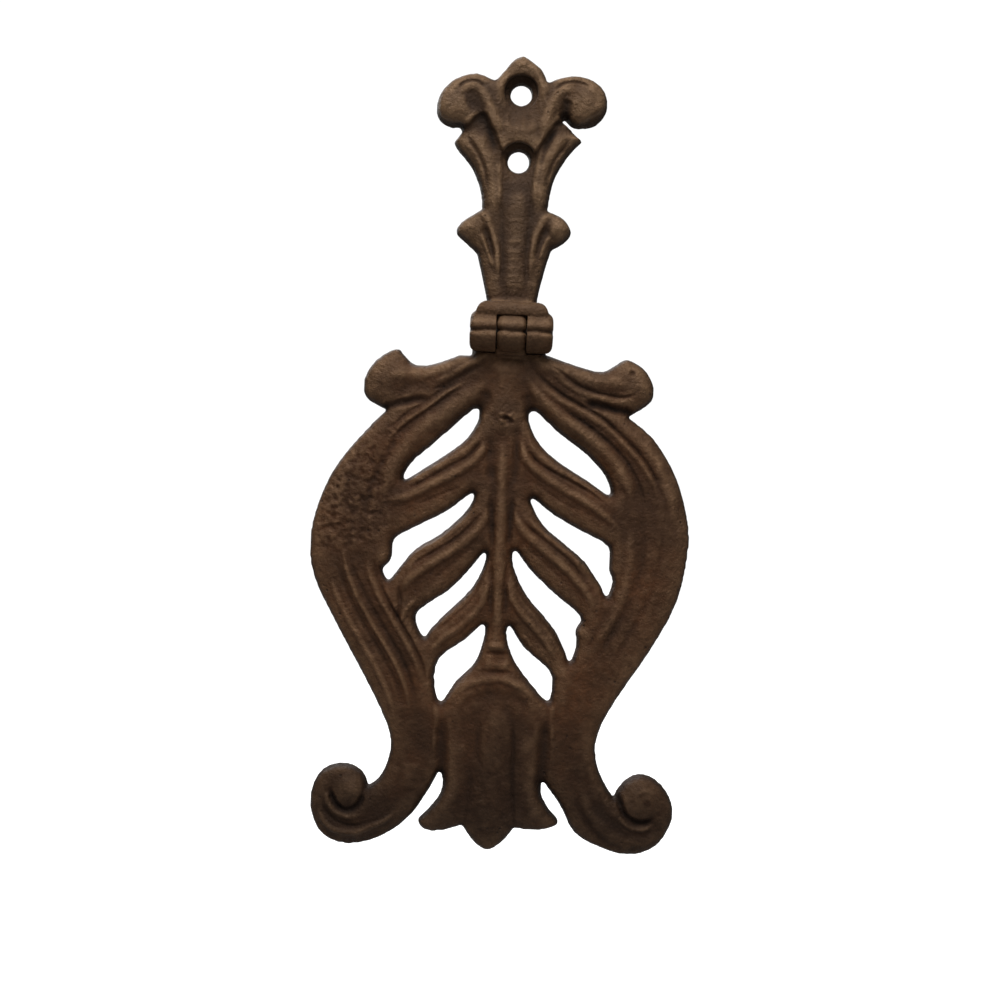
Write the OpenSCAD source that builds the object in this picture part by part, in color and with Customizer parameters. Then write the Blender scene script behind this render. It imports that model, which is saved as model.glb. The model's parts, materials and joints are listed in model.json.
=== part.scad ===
// Ornamental surface door hinge of cast iron, in millimetres.
// Two castings turn on one pin: a frame leaf (palmette, neck and outer knuckles) and a door leaf
// (centre knuckle, openwork arms with leaves, tulip and scroll feet).
// Both backs lie on the plane y = 0 and the ornament faces -Y. +Z runs up to the crest.
// The origin is on the back plane, midway between the two screw holes.

/* [Thickness] */
// Thickness of the arms and the yoke
arm_t = 6; // [5:0.1:6]
// Thickness of the openwork leaves
leaf_t = 5.4; // [4:0.1:6]
// Thickness of the palmette and the neck
head_t = 7; // [6:0.1:7]
// Height of the raised ribs and mouldings above the face they stand on
rib_h = 1.2; // [0.4:0.1:1.4]
// Width of a raised rib
rib_w = 2; // [1:0.1:3]

/* [Screw holes] */
// Radius of the holes through the frame leaf
screw_r = 3; // [2.5:0.1:3.4]
// Distance between the two holes
screw_pitch = 20; // [19.6:0.1:20.4]
// Radius of the round recess for a screw head
recess_r = 5.2; // [4.6:0.1:5.3]
// Depth of the straight wall of that recess
recess_depth = 1.6; // [0.5:0.1:2]
// Depth of the cone below it
cone_depth = 2.2; // [1:0.1:2.4]
// Radius of the blind tapped holes in the back of the door leaf
tapped_r = 2.1; // [1.6:0.1:2.4]
// Depth of those tapped holes
tapped_depth = 4.5; // [3:0.1:4.8]

/* [Barrel] */
// Outside radius of the knuckles
barrel_r = 6.2; // [5.8:0.1:6.2]
// Half the length of the barrel
barrel_half = 12.3; // [11.5:0.1:12.5]
// Half the length of the centre knuckle
centre_half = 4.2; // [3.8:0.1:4.4]
// Gap between neighbouring knuckles
knuckle_gap = 0.3; // [0.2:0.05:0.5]
// Radius of the hinge pin
pin_r = 2.8; // [2:0.1:3]
// Radial clearance of the pin in the centre knuckle
pin_clearance = 0.05; // [0.02:0.01:0.1]

/* [Hidden] */

$fn = 48;
LEFT = 0;
RIGHT = 1;
side = [-1, 1];                 // sign of x on each side
steps = 3;                      // straight pieces between two points of a drawn curve
iron = "#4a382b";
iron_warm = "#5c4632";
iron_dark = "#3a2b22";
pin_steel = "#6b6259";

barrel_z = -61.7;               // height of the pin's axis
barrel_y = -barrel_r;           // the knuckles touch the back plane
ring_top = -52.9;               // the moulding between the neck and the barrel
frame_end = -54.9;              // lower edge of the frame leaf's plate
door_start = -67.4;             // upper edge of the door leaf's plate
lip = 3;                        // the plates reach this near the axis behind the other's knuckles
web_half = 9.6;                 // the webs of the outer knuckles end here, under the moulding
yoke_half = 12.6;               // the yoke runs to here, past the ends of the barrel
outer_start = centre_half + knuckle_gap;
cove_r = barrel_r + knuckle_gap; // the plates clear the other leaf's knuckles by this radius
bead_r = 3;                     // the moulding that overhangs the top of the barrel
bead_y = -8.6;
bead_z = -55.6;
bead_half = 10.8;
far = 80;                       // beyond every edge of the hinge

// Curves drawn through a few points: x across, z up.
function at(p, i) = p[min(max(i, 0), len(p) - 1)];
function blend(a, b, c, d, t) =
    (2 * b + (c - a) * t + (2 * a - 5 * b + 4 * c - d) * t * t
    + (3 * b - a - 3 * c + d) * t * t * t) / 2;
function curve(p) = [
    for (i = [0 : len(p) - 2], k = [0 : steps - 1])
        blend(at(p, i - 1), p[i], p[i + 1], at(p, i + 2), k / steps)];
function closed(p) = [
    for (i = [0 : len(p) - 1], k = [0 : steps - 1])
        blend(p[(i + len(p) - 1) % len(p)], p[i], p[(i + 1) % len(p)], p[(i + 2) % len(p)],
            k / steps)];
function unit(v) = v / norm(v);
function normal(p, i) = let (d = unit(at(p, i + 1) - at(p, i - 1))) [-d[1], d[0]];
function reversed(p) = [for (i = [len(p) - 1 : -1 : 0]) p[i]];
function band(p, w) = concat(
    [for (i = [0 : len(p) - 1]) p[i] + normal(p, i) * w / 2],
    reversed([for (i = [0 : len(p) - 1]) p[i] - normal(p, i) * w / 2]));
function spiral(eye, r0, r1, a0, a1, n) = [
    for (i = [0 : n]) let (a = a0 + (a1 - a0) * i / n, r = r0 + (r1 - r0) * i / n)
        [eye[0] + r * cos(a), eye[1] + r * sin(a)]];

// Frame leaf: outline from the left notch of the crest, clockwise.
crest_edge = [[-8, 13.8], [-5, 17.3], [-3, 20], [0.4, 21.3], [4, 19.2], [6.5, 17], [7.9, 13.8]];
volute_edge = [
    [[-17.3, -1.5], [-18.3, -0.2], [-20.5, -0.4], [-23.8, 1.2], [-25.3, 5], [-24, 9.8],
        [-20, 13.8], [-13.5, 15.8], [-8, 13.8]],
    [[7.9, 13.8], [11.2, 15.2], [16.2, 16.1], [21.5, 14.9], [25.4, 11.2], [25.8, 6],
        [22.5, 1.8], [17.7, 0.8], [15.2, 1.5], [13.3, 3.3], [12.3, 1.9]]];
shoulder_edge = [
    [[-10.4, -24.4], [-11.1, -19], [-13.9, -12.3], [-18.5, -6.9], [-19.9, -4.2]],
    [[19.1, -3], [15.4, -6.9], [11.5, -13.5], [10, -19.2], [9.4, -24.2]]];
neck_volute_edge = [
    [[-11.4, -37.8], [-14.6, -35], [-17.8, -32.1], [-16.5, -28.7], [-10.4, -24.4]],
    [[9.4, -24.2], [14.2, -26.3], [16.8, -30.2], [15, -33.5], [11, -36]]];
neck_edge = [
    [[-9.5, -53.9], [-7.8, -52.6], [-9.6, -44.6], [-11.4, -37.8]],
    [[11, -36], [9.2, -42.5], [7.3, -52.2], [9, -53.9]]];
frame_outline = concat(
    curve(crest_edge), curve(volute_edge[RIGHT]), curve(shoulder_edge[RIGHT]),
    curve(neck_volute_edge[RIGHT]), curve(neck_edge[RIGHT]),
    [[web_half, -53.9], [web_half, frame_end], [-web_half, frame_end], [-web_half, -53.9]],
    curve(neck_edge[LEFT]), curve(neck_volute_edge[LEFT]), curve(shoulder_edge[LEFT]),
    curve(volute_edge[LEFT]));

// Door leaf: outline from the right end of the upper edge, clockwise.
lobe_edge = [
    [[-36.4, -85.8], [-38.7, -84.9], [-43, -82], [-43.4, -76.5], [-39.9, -70.8], [-34, -67.4],
        [-31.4, -69.8], [-27.8, -72.1], [-22, -71.2], [-12.6, door_start]],
    [[11, door_start], [20, -70.3], [27.5, -71.8], [31.5, -69.8], [35, -67.8], [40, -70.3],
        [43.2, -75], [43, -80], [38.5, -83.6], [36, -85]]];
arm_edge = [
    [[-37.3, -198.7], [-34, -196], [-31.5, -190], [-31.6, -182.5], [-37, -171], [-48, -152],
        [-56, -137], [-57.8, -125], [-55.1, -112.5], [-49.9, -101.7], [-41.2, -90.8],
        [-36.4, -85.8]],
    [[36, -85], [44, -91.3], [51, -102], [54.8, -113.5], [55.8, -124], [53, -140], [45.5, -155],
        [36, -170], [31, -180.5], [30.8, -188.5], [33.5, -195], [36.5, -199.3]]];
foot_edge = [
    [[-16.2, -193.6], [-19.5, -200], [-24.5, -207.5], [-31, -212.7], [-39, -215.9],
        [-46.5, -215.7], [-52, -211.8], [-54.6, -204], [-52.5, -196], [-47.5, -192.6],
        [-42, -192.8], [-38.5, -195.5], [-37.3, -198.7]],
    [[36.5, -199.3], [38, -196], [42, -192.5], [47, -192.5], [52, -196.5], [54.5, -203],
        [52.3, -210], [47.5, -214.6], [41, -216.2], [33, -214.4], [25, -210.2], [20.5, -202.3],
        [14.9, -195.1]]];
petal_edge = [
    [[-8.7, -209.2], [-14, -211.1], [-19.5, -211.2], [-22, -208.5], [-19, -205], [-15.5, -200],
        [-15.3, -195], [-16.2, -193.6]],
    [[14.9, -195.1], [14.7, -199], [17, -203.3], [20.3, -207.3], [18, -209], [12.5, -210.1],
        [7, -209.4]]];
tulip_tip = [[7, -209.4], [4, -213.4], [-0.8, -216.5], [-5.5, -213.6], [-8.7, -209.2]];
door_outline = concat(
    curve(lobe_edge[RIGHT]), curve(arm_edge[RIGHT]), curve(foot_edge[RIGHT]),
    curve(petal_edge[RIGHT]), curve(tulip_tip), curve(petal_edge[LEFT]),
    curve(foot_edge[LEFT]), curve(arm_edge[LEFT]), curve(lobe_edge[LEFT]));

// Openings of the door leaf, from the top down, one of each on either side.
openings = [
    [
        [[-10.4, -84.6], [-8.6, -86.5], [-10.5, -91.3], [-15, -96.2], [-26, -104], [-30.6, -106.6],
            [-28.5, -101.5], [-21.5, -95]],
        [[-10.3, -110], [-9.3, -111.5], [-12, -116], [-18.5, -122.3], [-26, -127.2], [-31, -133.5],
            [-33.8, -136.9], [-35.6, -133.6], [-33.2, -130.5], [-32.6, -124.6], [-27, -120.9],
            [-17, -115.4]],
        [[-5.3, -127.2], [-5.2, -131], [-8.5, -138], [-14.5, -144.6], [-20, -150.3],
            [-22.6, -153.5], [-25.2, -147.5], [-21.5, -143.4], [-15, -138.8], [-9, -132]],
        [[-5, -149], [-4.3, -152.5], [-6.8, -160.5], [-12.5, -166.7], [-16.6, -172.8],
            [-18.7, -167.5], [-17.6, -159.8], [-10, -153.8]]
    ],
    [
        [[8.4, -84.5], [6.3, -86.6], [9, -93], [15, -98.8], [25, -104.8], [31.6, -108.8],
            [30, -103], [24, -96.7], [15, -90.3]],
        [[8.6, -110.6], [8.3, -112.5], [12, -118.5], [18, -123.4], [25, -129], [29, -134],
            [31.8, -139.2], [33.5, -134.5], [32.2, -130.8], [31.8, -124.2], [24, -120],
            [15, -115.3]],
        [[3.9, -126.5], [3.5, -131], [7.5, -139.3], [13.5, -146], [19, -153], [21.4, -159.3],
            [23.4, -154.2], [23, -149.5], [24.3, -145.4], [16, -138.8], [8.5, -131.9]],
        [[3.1, -149], [2.5, -153], [5.3, -160], [10.5, -166.5], [15.5, -171.3], [16.5, -167],
            [15.5, -162], [7.5, -155.3]]
    ]];

// Points inside the openings where the members of the door leaf are told apart. Each opening
// has its inner upper end, its inner lower edge, its middle, its outer side and its lower tip.
top_end = [
    [[-10.4, -84.8], [-10.1, -110.4], [-5.4, -127.6], [-5, -149.4]],
    [[8.3, -84.8], [8.7, -111], [3.9, -126.9], [3.1, -149.4]]];
inner_end = [
    [[-9.3, -88], [-10.4, -113], [-5.5, -131.4], [-7.4, -161.6]],
    [[7.2, -88.4], [9, -113.4], [3.9, -131.6], [5.8, -160.6]]];
middle = [
    [[-20, -97], [-22, -121], [-13, -140], [-12.5, -160]],
    [[20, -97.5], [20, -122], [12, -140.5], [11, -161.5]]];
outer_side = [
    [[-30, -105.2], [-31.5, -125.2], [-24.5, -147.3], [-17, -161]],
    [[30.4, -106], [30.6, -125.2], [23.4, -147], [14.8, -163.4]]];
low_tip = [
    [[-30.2, -106], [-33.8, -136.2], [-22.6, -152.8], [-16.6, -172]],
    [[31.2, -108.2], [31.8, -138.4], [21.4, -158.6], [15.4, -170.6]]];
valley = [[-28, -72], [28, -71.7]];             // between yoke and lobe
lobe_notch = [[-36.4, -85.8], [36, -85]];       // between lobe and arm
foot_notch = [[-37.3, -198.7], [36.5, -199.3]]; // between arm and scroll
slit_top = [[-16.2, -193.6], [14.9, -195.1]];   // where tulip and arm part
slit = [
    [[-17.3, -199.5], [-21.6, -205.3], [-23.6, -209]],
    [[17, -200.4], [20.9, -205.4], [22, -209]]];
petal_line = [-6, 5];                           // between tulip centre and petals

// Centre lines of the raised ribs.
arm_ribs = [
    [
        [[-8, -70], [-25, -76.5], [-38, -89], [-49, -107], [-52.5, -125], [-48, -143],
            [-37, -161], [-29, -178], [-28, -190], [-33, -202]],
        [[-6, -76], [-20, -83], [-33, -95], [-41, -110], [-42.5, -127], [-37, -146],
            [-29, -160], [-23, -176], [-22, -190], [-28, -204]]
    ],
    [
        [[8, -70], [25, -76.5], [38, -88], [47.5, -104], [50.8, -124], [46, -143],
            [36, -160], [28, -178], [27, -190], [31, -202]],
        [[6, -76], [20, -82], [33, -94], [40, -108], [41.5, -126], [36, -146],
            [27.5, -160], [21.5, -176], [21, -190], [26, -203]]
    ]];
leaf_ribs = [
    [
        [[-3, -89], [-9, -98], [-19, -108], [-31, -115]],
        [[-3, -111], [-8, -122], [-18, -132], [-29, -141]],
        [[-2, -132], [-5, -143], [-12, -149], [-20, -155.5]]
    ],
    [
        [[2, -89], [8, -98], [19, -109], [31, -116]],
        [[2, -111], [7, -122], [17, -132], [28, -142]],
        [[0.5, -132], [4, -143], [11, -150.5], [18.5, -160]]
    ]];
stem_rib = [[-1, -80], [-1, -100], [-0.8, -125], [-0.8, -152]];
neck_ribs = [
    [[-15.8, -3], [-9.5, -13], [-7, -24], [-6, -36], [-5.4, -50]],
    [[15.6, -2.5], [9, -12], [6.6, -24], [5.8, -36], [5, -50]]];
foot_eye = [[-44.3, -203.4], [44.8, -203.4]];

// Turns a flat shape drawn in x and z into a plate from the back plane forwards.
module plate(t) rotate([90, 0, 0]) linear_extrude(t) children();

module frame_face(cell) intersection() {
    polygon(frame_outline);
    polygon(cell);
}

module door_face(cell) intersection() {
    difference() {
        polygon(door_outline);
        for (s = [LEFT, RIGHT], i = [0 : 3]) polygon(closed(openings[s][i]));
    }
    polygon(cell);
}

// A member of the frame leaf: its plate, and the ribs that cross it.
module frame_member(cell, t, ribs = []) {
    plate(t) frame_face(cell);
    for (r = ribs) plate(t + rib_h) intersection() {
        frame_face(cell);
        polygon(band(r, rib_w));
    }
}

// A member of the door leaf, made the same way.
module door_member(cell, t, ribs = []) {
    plate(t) door_face(cell);
    for (r = ribs) plate(t + rib_h) intersection() {
        door_face(cell);
        polygon(band(r, rib_w));
    }
}

// A round hole along Y from the back plane, and the recess for a countersunk head in front of it.
module along_y(r, from, to) translate([0, -from, 0]) rotate([90, 0, 0]) cylinder(r = r, h = to - from);

module screw_hole(z) translate([0, 0, z]) {
    cone_end = head_t - recess_depth;
    along_y(screw_r, -1, cone_end);
    translate([0, -(cone_end - cone_depth), 0]) rotate([90, 0, 0])
        cylinder(r1 = screw_r, r2 = recess_r, h = cone_depth);
    along_y(recess_r, cone_end, head_t + rib_h + 1);
}

module tapped_hole(x, z) translate([x, 0, z]) along_y(tapped_r, -1, tapped_depth);

// A block as deep as the barrel, against the back plane.
module block(a, b, top, end) translate([a, barrel_y, end]) cube([b - a, -barrel_y, top - end]);

// A length of the barrel from x = a to x = b, with a web from x = c to x = d that joins it to
// its plate, and a groove along its front.
module knuckle(a, b, c, d, bore_r, web_top, web_end) difference() {
    union() {
        barrel_bar(a, b, barrel_r, 0);
        block(c, d, web_top, web_end);
    }
    barrel_bar(a - 1, b + 1, bore_r, 0);
    barrel_bar(a - 1, b + 1, 0.5, -1.5);
}

// A round bar along the barrel: on its axis, or on its front surface when it is lifted.
module barrel_bar(a, b, r, lift) {
    out = lift == 0 ? 0 : barrel_r;
    translate([a, barrel_y - out * cos(lift), barrel_z + out * sin(lift)]) rotate([0, 90, 0])
        cylinder(r = r, h = b - a);
}

// Frame leaf members.
module crest() color(iron_warm) difference() {
    frame_member([[-8, 13.8], [-8, far], [7.9, far], [7.9, 13.8], [11, 3.5], [-10, 3.5]], head_t);
    screw_hole(screw_pitch / 2);
}

module volute(s) {
    sx = side[s];
    cell = s == LEFT
        ? [[-8, far], [-8, 13.8], [-10, 3.5], [-12, 3], [-17.3, -1.5], [-far, -1.5], [-far, far]]
        : [[7.9, far], [7.9, 13.8], [11, 3.5], [12.6, 2.4], [18, -0.4], [far, -0.4], [far, far]];
    frame_member(cell, head_t - 1);
    plate(head_t + rib_h) intersection() {
        frame_face(cell);
        union() {
            translate([sx * 19.3, 7.4]) circle(r = 4.5);
            polygon(band(curve([[sx * 8.6, 4], [sx * 9.5, 10], [sx * 13, 12.8], [sx * 19, 13.2],
                [sx * 23.5, 9], [sx * 22.5, 4.5]]), rib_w));
        }
    }
}
module volute_left() color(iron_warm) volute(LEFT);
module volute_right() color(iron_warm) volute(RIGHT);

module fan() color(iron_warm) {
    flutes = [for (i = [-2 : 2]) [[i * 3, 3.5], [i * 1.9, -4.6]]];
    frame_member([[-10, 3.5], [11, 3.5], [5.6, -4.6], [-5.6, -4.6]], head_t - rib_h, flutes);
}

module shoulder_leaf(s) {
    cell = s == LEFT
        ? [[-10, 3.5], [-12, 3], [-17.3, -1.5], [-far, -1.5], [-far, -24.3], [-5.6, -24.3],
            [-5.6, -4.6]]
        : [[11, 3.5], [12.6, 2.4], [18, -0.4], [far, -0.4], [far, -24.3], [5.6, -24.3],
            [5.6, -4.6]];
    frame_member(cell, head_t - 1, [curve(neck_ribs[s])]);
}
module shoulder_leaf_left() color(iron) shoulder_leaf(LEFT);
module shoulder_leaf_right() color(iron) shoulder_leaf(RIGHT);

module neck_upper() color(iron) difference() {
    frame_member([[-5.6, -4.6], [5.6, -4.6], [5.6, -24.3], [-5.6, -24.3]], head_t);
    screw_hole(-screw_pitch / 2);
}

module neck_lower() color(iron) frame_member([[-6.6, -24.3], [6.4, -24.3], [8.6, -38.5],
    [far, -38.5], [far, ring_top], [-far, ring_top], [-far, -38.5], [-8.8, -38.5]],
    head_t - 1, [curve(neck_ribs[LEFT]), curve(neck_ribs[RIGHT])]);

module neck_volute(s) {
    cell = s == LEFT ? [[-6.6, -24.3], [-8.8, -38.5], [-far, -38.5], [-far, -24.3]]
        : [[6.4, -24.3], [8.6, -38.5], [far, -38.5], [far, -24.3]];
    frame_member(cell, head_t - 2);
    plate(head_t) intersection() {
        frame_face(cell);
        translate([side[s] * 13.2, -30.6]) circle(r = 2.6);
    }
}
module neck_volute_left() color(iron) neck_volute(LEFT);
module neck_volute_right() color(iron) neck_volute(RIGHT);

module neck_ring() color(iron_warm) {
    frame_member([[-far, ring_top], [far, ring_top], [far, frame_end], [-far, frame_end]],
        head_t + rib_h);
    difference() {
        union() {
            block(-outer_start, outer_start, frame_end, barrel_z + lip);
            bead();
        }
        barrel_bar(-outer_start, outer_start, cove_r, 0);
    }
}

// The overhanging moulding, clear of the knuckles and of their webs.
module bead() difference() {
    translate([-bead_half, bead_y, bead_z]) rotate([0, 90, 0])
        cylinder(r = bead_r, h = 2 * bead_half);
    barrel_bar(-far, far, barrel_r, 0);
    block(-far, far, frame_end, barrel_z);
}

module knuckle_left() color(iron)
    knuckle(-barrel_half, -outer_start, -web_half, -outer_start, pin_r, frame_end, barrel_z);
module knuckle_right() color(iron)
    knuckle(outer_start, barrel_half, outer_start, web_half, pin_r, frame_end, barrel_z);

module hinge_pin() color(pin_steel) barrel_bar(-barrel_half, barrel_half, pin_r, 0);

// Door leaf members.
module knuckle_centre() color(iron) knuckle(-centre_half, centre_half, -centre_half, centre_half,
    pin_r + pin_clearance, barrel_z, door_start);

module yoke() color(iron) difference() {
    union() {
        door_member([[-yoke_half, door_start], [yoke_half, door_start], top_end[RIGHT][0],
            top_end[LEFT][0]], arm_t, [arm_ribs[LEFT][0], arm_ribs[RIGHT][0], stem_rib]);
        block(-11.4, -centre_half, barrel_z - lip, door_start - 1);
        block(centre_half, 10.6, barrel_z - lip, door_start - 1);
    }
    barrel_bar(-far, far, barrel_r, 0);
    barrel_bar(-far, -centre_half, cove_r, 0);
    barrel_bar(centre_half, far, cove_r, 0);
}

module lobe(s) {
    sx = side[s] * far;
    cell = [valley[s], lobe_notch[s], [sx, lobe_notch[s][1]], [sx, door_start + 1],
        [valley[s][0], door_start + 1]];
    door_member(cell, arm_t - 1);
    plate(arm_t + rib_h) intersection() {
        door_face(cell);
        translate([side[s] * 37.5, -76.5]) circle(r = 4);
    }
}
module lobe_left() color(iron) lobe(LEFT);
module lobe_right() color(iron) lobe(RIGHT);

module arm_upper(s) {
    sx = side[s] * far;
    door_member([[side[s] * yoke_half, door_start], [valley[s][0], door_start], valley[s], lobe_notch[s],
        [sx, lobe_notch[s][1]], [sx, low_tip[s][0][1] - 3], low_tip[s][0], middle[s][0],
        top_end[s][0]], arm_t, [for (r = arm_ribs[s]) curve(r)]);
}
module arm_upper_left() color(iron) arm_upper(LEFT);
module arm_upper_right() color(iron) arm_upper(RIGHT);

module arm_middle(s) {
    sx = side[s] * far;
    difference() {
        door_member([low_tip[s][0], [sx, low_tip[s][0][1] - 3], [sx, low_tip[s][1][1]],
            low_tip[s][1], outer_side[s][1]], arm_t, [for (r = arm_ribs[s]) curve(r)]);
        tapped_hole(side[s] * 45, -122);
    }
}
module arm_middle_left() color(iron) arm_middle(LEFT);
module arm_middle_right() color(iron) arm_middle(RIGHT);

module arm_lower(s) {
    sx = side[s] * far;
    door_member([low_tip[s][1], [sx, low_tip[s][1][1]], [sx, low_tip[s][3][1]], low_tip[s][3],
        outer_side[s][3], low_tip[s][2], outer_side[s][2]], arm_t,
        [for (r = arm_ribs[s]) curve(r)]);
}
module arm_lower_left() color(iron) arm_lower(LEFT);
module arm_lower_right() color(iron) arm_lower(RIGHT);

module arm_foot(s) {
    sx = side[s];
    door_member([low_tip[s][3], [sx * far, low_tip[s][3][1]], [sx * far, -185], [sx * 36.5, -192],
        foot_notch[s], slit_top[s]], arm_t, [for (r = arm_ribs[s]) curve(r)]);
}
module arm_foot_left() color(iron) arm_foot(LEFT);
module arm_foot_right() color(iron) arm_foot(RIGHT);

module scroll_foot(s) {
    sx = side[s];
    cell = concat([slit_top[s], foot_notch[s], [sx * 36.5, -192], [sx * far, -185],
        [sx * far, -far * 3], [slit[s][2][0], -far * 3]], reversed(slit[s]));
    turn = s == LEFT
        ? spiral(foot_eye[s], 9, 4, 360 - 60, 360 - 340, 16)
        : spiral(foot_eye[s], 9, 4, 240, 520, 16);
    door_member(cell, arm_t, [turn]);
    plate(arm_t + 2 * rib_h) intersection() {
        door_face(cell);
        translate(foot_eye[s]) circle(r = 2.6);
    }
}
module scroll_foot_left() color(iron_dark) scroll_foot(LEFT);
module scroll_foot_right() color(iron_dark) scroll_foot(RIGHT);

// One openwork leaf, between opening i and the next one down.
module leaf(s, i) door_member([inner_end[s][i], middle[s][i], low_tip[s][i], outer_side[s][i + 1],
    middle[s][i + 1], top_end[s][i + 1]], leaf_t, [curve(leaf_ribs[s][i])]);
module leaf_upper_left() color(iron) leaf(LEFT, 0);
module leaf_upper_right() color(iron) leaf(RIGHT, 0);
module leaf_middle_left() color(iron) leaf(LEFT, 1);
module leaf_middle_right() color(iron) leaf(RIGHT, 1);
module leaf_lower_left() color(iron) leaf(LEFT, 2);
module leaf_lower_right() color(iron) leaf(RIGHT, 2);

// One length of the stem, from the upper ends of opening i to those of the next one down.
module stem(i) door_member([top_end[LEFT][i], top_end[RIGHT][i], inner_end[RIGHT][i],
    top_end[RIGHT][i + 1], top_end[LEFT][i + 1], inner_end[LEFT][i]], leaf_t, [curve(stem_rib)]);
module stem_upper() color(iron) stem(0);
module stem_middle() color(iron) stem(1);
module stem_lower() color(iron) stem(2);

module bud() color(iron_warm) door_member([top_end[LEFT][3], top_end[RIGHT][3],
    inner_end[RIGHT][3], inner_end[LEFT][3]], arm_t);

// The tulip, cut into its centre and two petals by upright lines.
tulip_cell = concat([inner_end[LEFT][3], inner_end[RIGHT][3], middle[RIGHT][3], low_tip[RIGHT][3],
    slit_top[RIGHT]], slit[RIGHT], [[slit[RIGHT][2][0], -far * 3], [slit[LEFT][2][0], -far * 3]],
    reversed(slit[LEFT]), [slit_top[LEFT], low_tip[LEFT][3], middle[LEFT][3]]);

module tulip_part(x0, x1, t) plate(t) intersection() {
    door_face(tulip_cell);
    translate([x0, -far * 3]) square([x1 - x0, far * 3]);
}

module tulip_centre() color(iron) difference() {
    union() {
        tulip_part(petal_line[LEFT], petal_line[RIGHT], arm_t);
        plate(arm_t + rib_h) translate([-0.8, -183]) scale([0.35, 1]) circle(r = 10);
    }
    tapped_hole(-0.6, -183);
}
module tulip_petal_left() color(iron_dark) tulip_part(-far, petal_line[LEFT], arm_t + rib_h);
module tulip_petal_right() color(iron_dark) tulip_part(petal_line[RIGHT], far, arm_t + rib_h);

crest();
volute_left();
volute_right();
fan();
shoulder_leaf_left();
shoulder_leaf_right();
neck_upper();
neck_lower();
neck_volute_left();
neck_volute_right();
neck_ring();
knuckle_left();
knuckle_right();
hinge_pin();
knuckle_centre();
yoke();
lobe_left();
lobe_right();
arm_upper_left();
arm_upper_right();
arm_middle_left();
arm_middle_right();
arm_lower_left();
arm_lower_right();
arm_foot_left();
arm_foot_right();
scroll_foot_left();
scroll_foot_right();
leaf_upper_left();
leaf_upper_right();
leaf_middle_left();
leaf_middle_right();
leaf_lower_left();
leaf_lower_right();
stem_upper();
stem_middle();
stem_lower();
bud();
tulip_centre();
tulip_petal_left();
tulip_petal_right();
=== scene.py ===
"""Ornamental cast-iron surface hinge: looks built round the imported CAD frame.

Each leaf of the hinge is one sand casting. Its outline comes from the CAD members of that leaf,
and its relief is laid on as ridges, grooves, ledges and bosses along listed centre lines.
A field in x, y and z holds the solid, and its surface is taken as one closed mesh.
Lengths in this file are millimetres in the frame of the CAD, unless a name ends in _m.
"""

import json
import math

import bpy
import numpy as np
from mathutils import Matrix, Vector, kdtree

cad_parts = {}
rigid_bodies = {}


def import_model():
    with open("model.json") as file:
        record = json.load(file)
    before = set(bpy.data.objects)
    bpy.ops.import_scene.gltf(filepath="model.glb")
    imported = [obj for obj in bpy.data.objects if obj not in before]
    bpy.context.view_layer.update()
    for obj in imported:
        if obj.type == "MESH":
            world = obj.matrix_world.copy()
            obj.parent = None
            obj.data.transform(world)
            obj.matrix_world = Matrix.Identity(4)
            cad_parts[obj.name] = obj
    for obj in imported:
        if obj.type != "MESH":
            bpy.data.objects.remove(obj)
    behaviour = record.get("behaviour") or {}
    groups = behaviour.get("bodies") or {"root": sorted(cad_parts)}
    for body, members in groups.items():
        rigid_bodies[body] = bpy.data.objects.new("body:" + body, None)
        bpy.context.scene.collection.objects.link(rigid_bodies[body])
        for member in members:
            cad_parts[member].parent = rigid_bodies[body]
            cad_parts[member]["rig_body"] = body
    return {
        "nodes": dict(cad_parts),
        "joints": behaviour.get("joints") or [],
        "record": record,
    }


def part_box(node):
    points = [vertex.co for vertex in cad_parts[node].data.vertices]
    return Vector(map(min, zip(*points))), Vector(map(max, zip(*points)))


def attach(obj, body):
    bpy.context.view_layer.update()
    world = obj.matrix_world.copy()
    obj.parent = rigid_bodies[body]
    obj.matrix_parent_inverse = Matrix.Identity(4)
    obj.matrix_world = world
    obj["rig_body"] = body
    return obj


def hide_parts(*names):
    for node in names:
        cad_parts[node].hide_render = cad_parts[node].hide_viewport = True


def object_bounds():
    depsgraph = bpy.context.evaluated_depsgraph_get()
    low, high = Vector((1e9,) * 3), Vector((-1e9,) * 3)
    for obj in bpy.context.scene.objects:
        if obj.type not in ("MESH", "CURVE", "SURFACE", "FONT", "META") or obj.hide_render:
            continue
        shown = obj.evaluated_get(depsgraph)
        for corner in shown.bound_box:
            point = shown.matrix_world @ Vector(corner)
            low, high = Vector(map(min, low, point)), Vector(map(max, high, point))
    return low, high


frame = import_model()
cad_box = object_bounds()

MM = 0.001                     # metres in a millimetre
SEED = 7

# The barrel and the screw holes, as the CAD and the record have them.
JOINT = frame["joints"][0]
BARREL_Y, BARREL_Z = JOINT["pos_m"][1] / MM, JOINT["pos_m"][2] / MM
BARREL_R = -BARREL_Y
BARREL_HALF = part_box("knuckle_right")[1].x / MM
OUTER_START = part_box("knuckle_right")[0].x / MM
CENTRE_HALF = OUTER_START - 0.08
PIN_R = (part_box("hinge_pin")[1].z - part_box("hinge_pin")[0].z) / 2 / MM
SCREWS = next(m for m in frame["record"]["mounts"] if m["name"] == "frame_screws")
SCREW_R = SCREWS["dims"]["hole_r_mm"]
SCREW_Z = SCREWS["dims"]["spacing_y_mm"] / 2
HEAD_T = -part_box("neck_upper")[0].y / MM
RECESS_R = 5.0
RECESS_DEPTH = 2.6
CONE_DEPTH = 1.4
TAPPED_R = 2.1
TAPPED_DEPTH = 4.5
PIN_CLEARANCE = 0.05
OUTLINE_SOFT = 0.32            # blur on the outline of the CAD members
FAR = 6.0                      # distances to the outline are held within this
DRAFT = 0.045                  # how far the sides lean in for each millimetre of height
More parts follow.
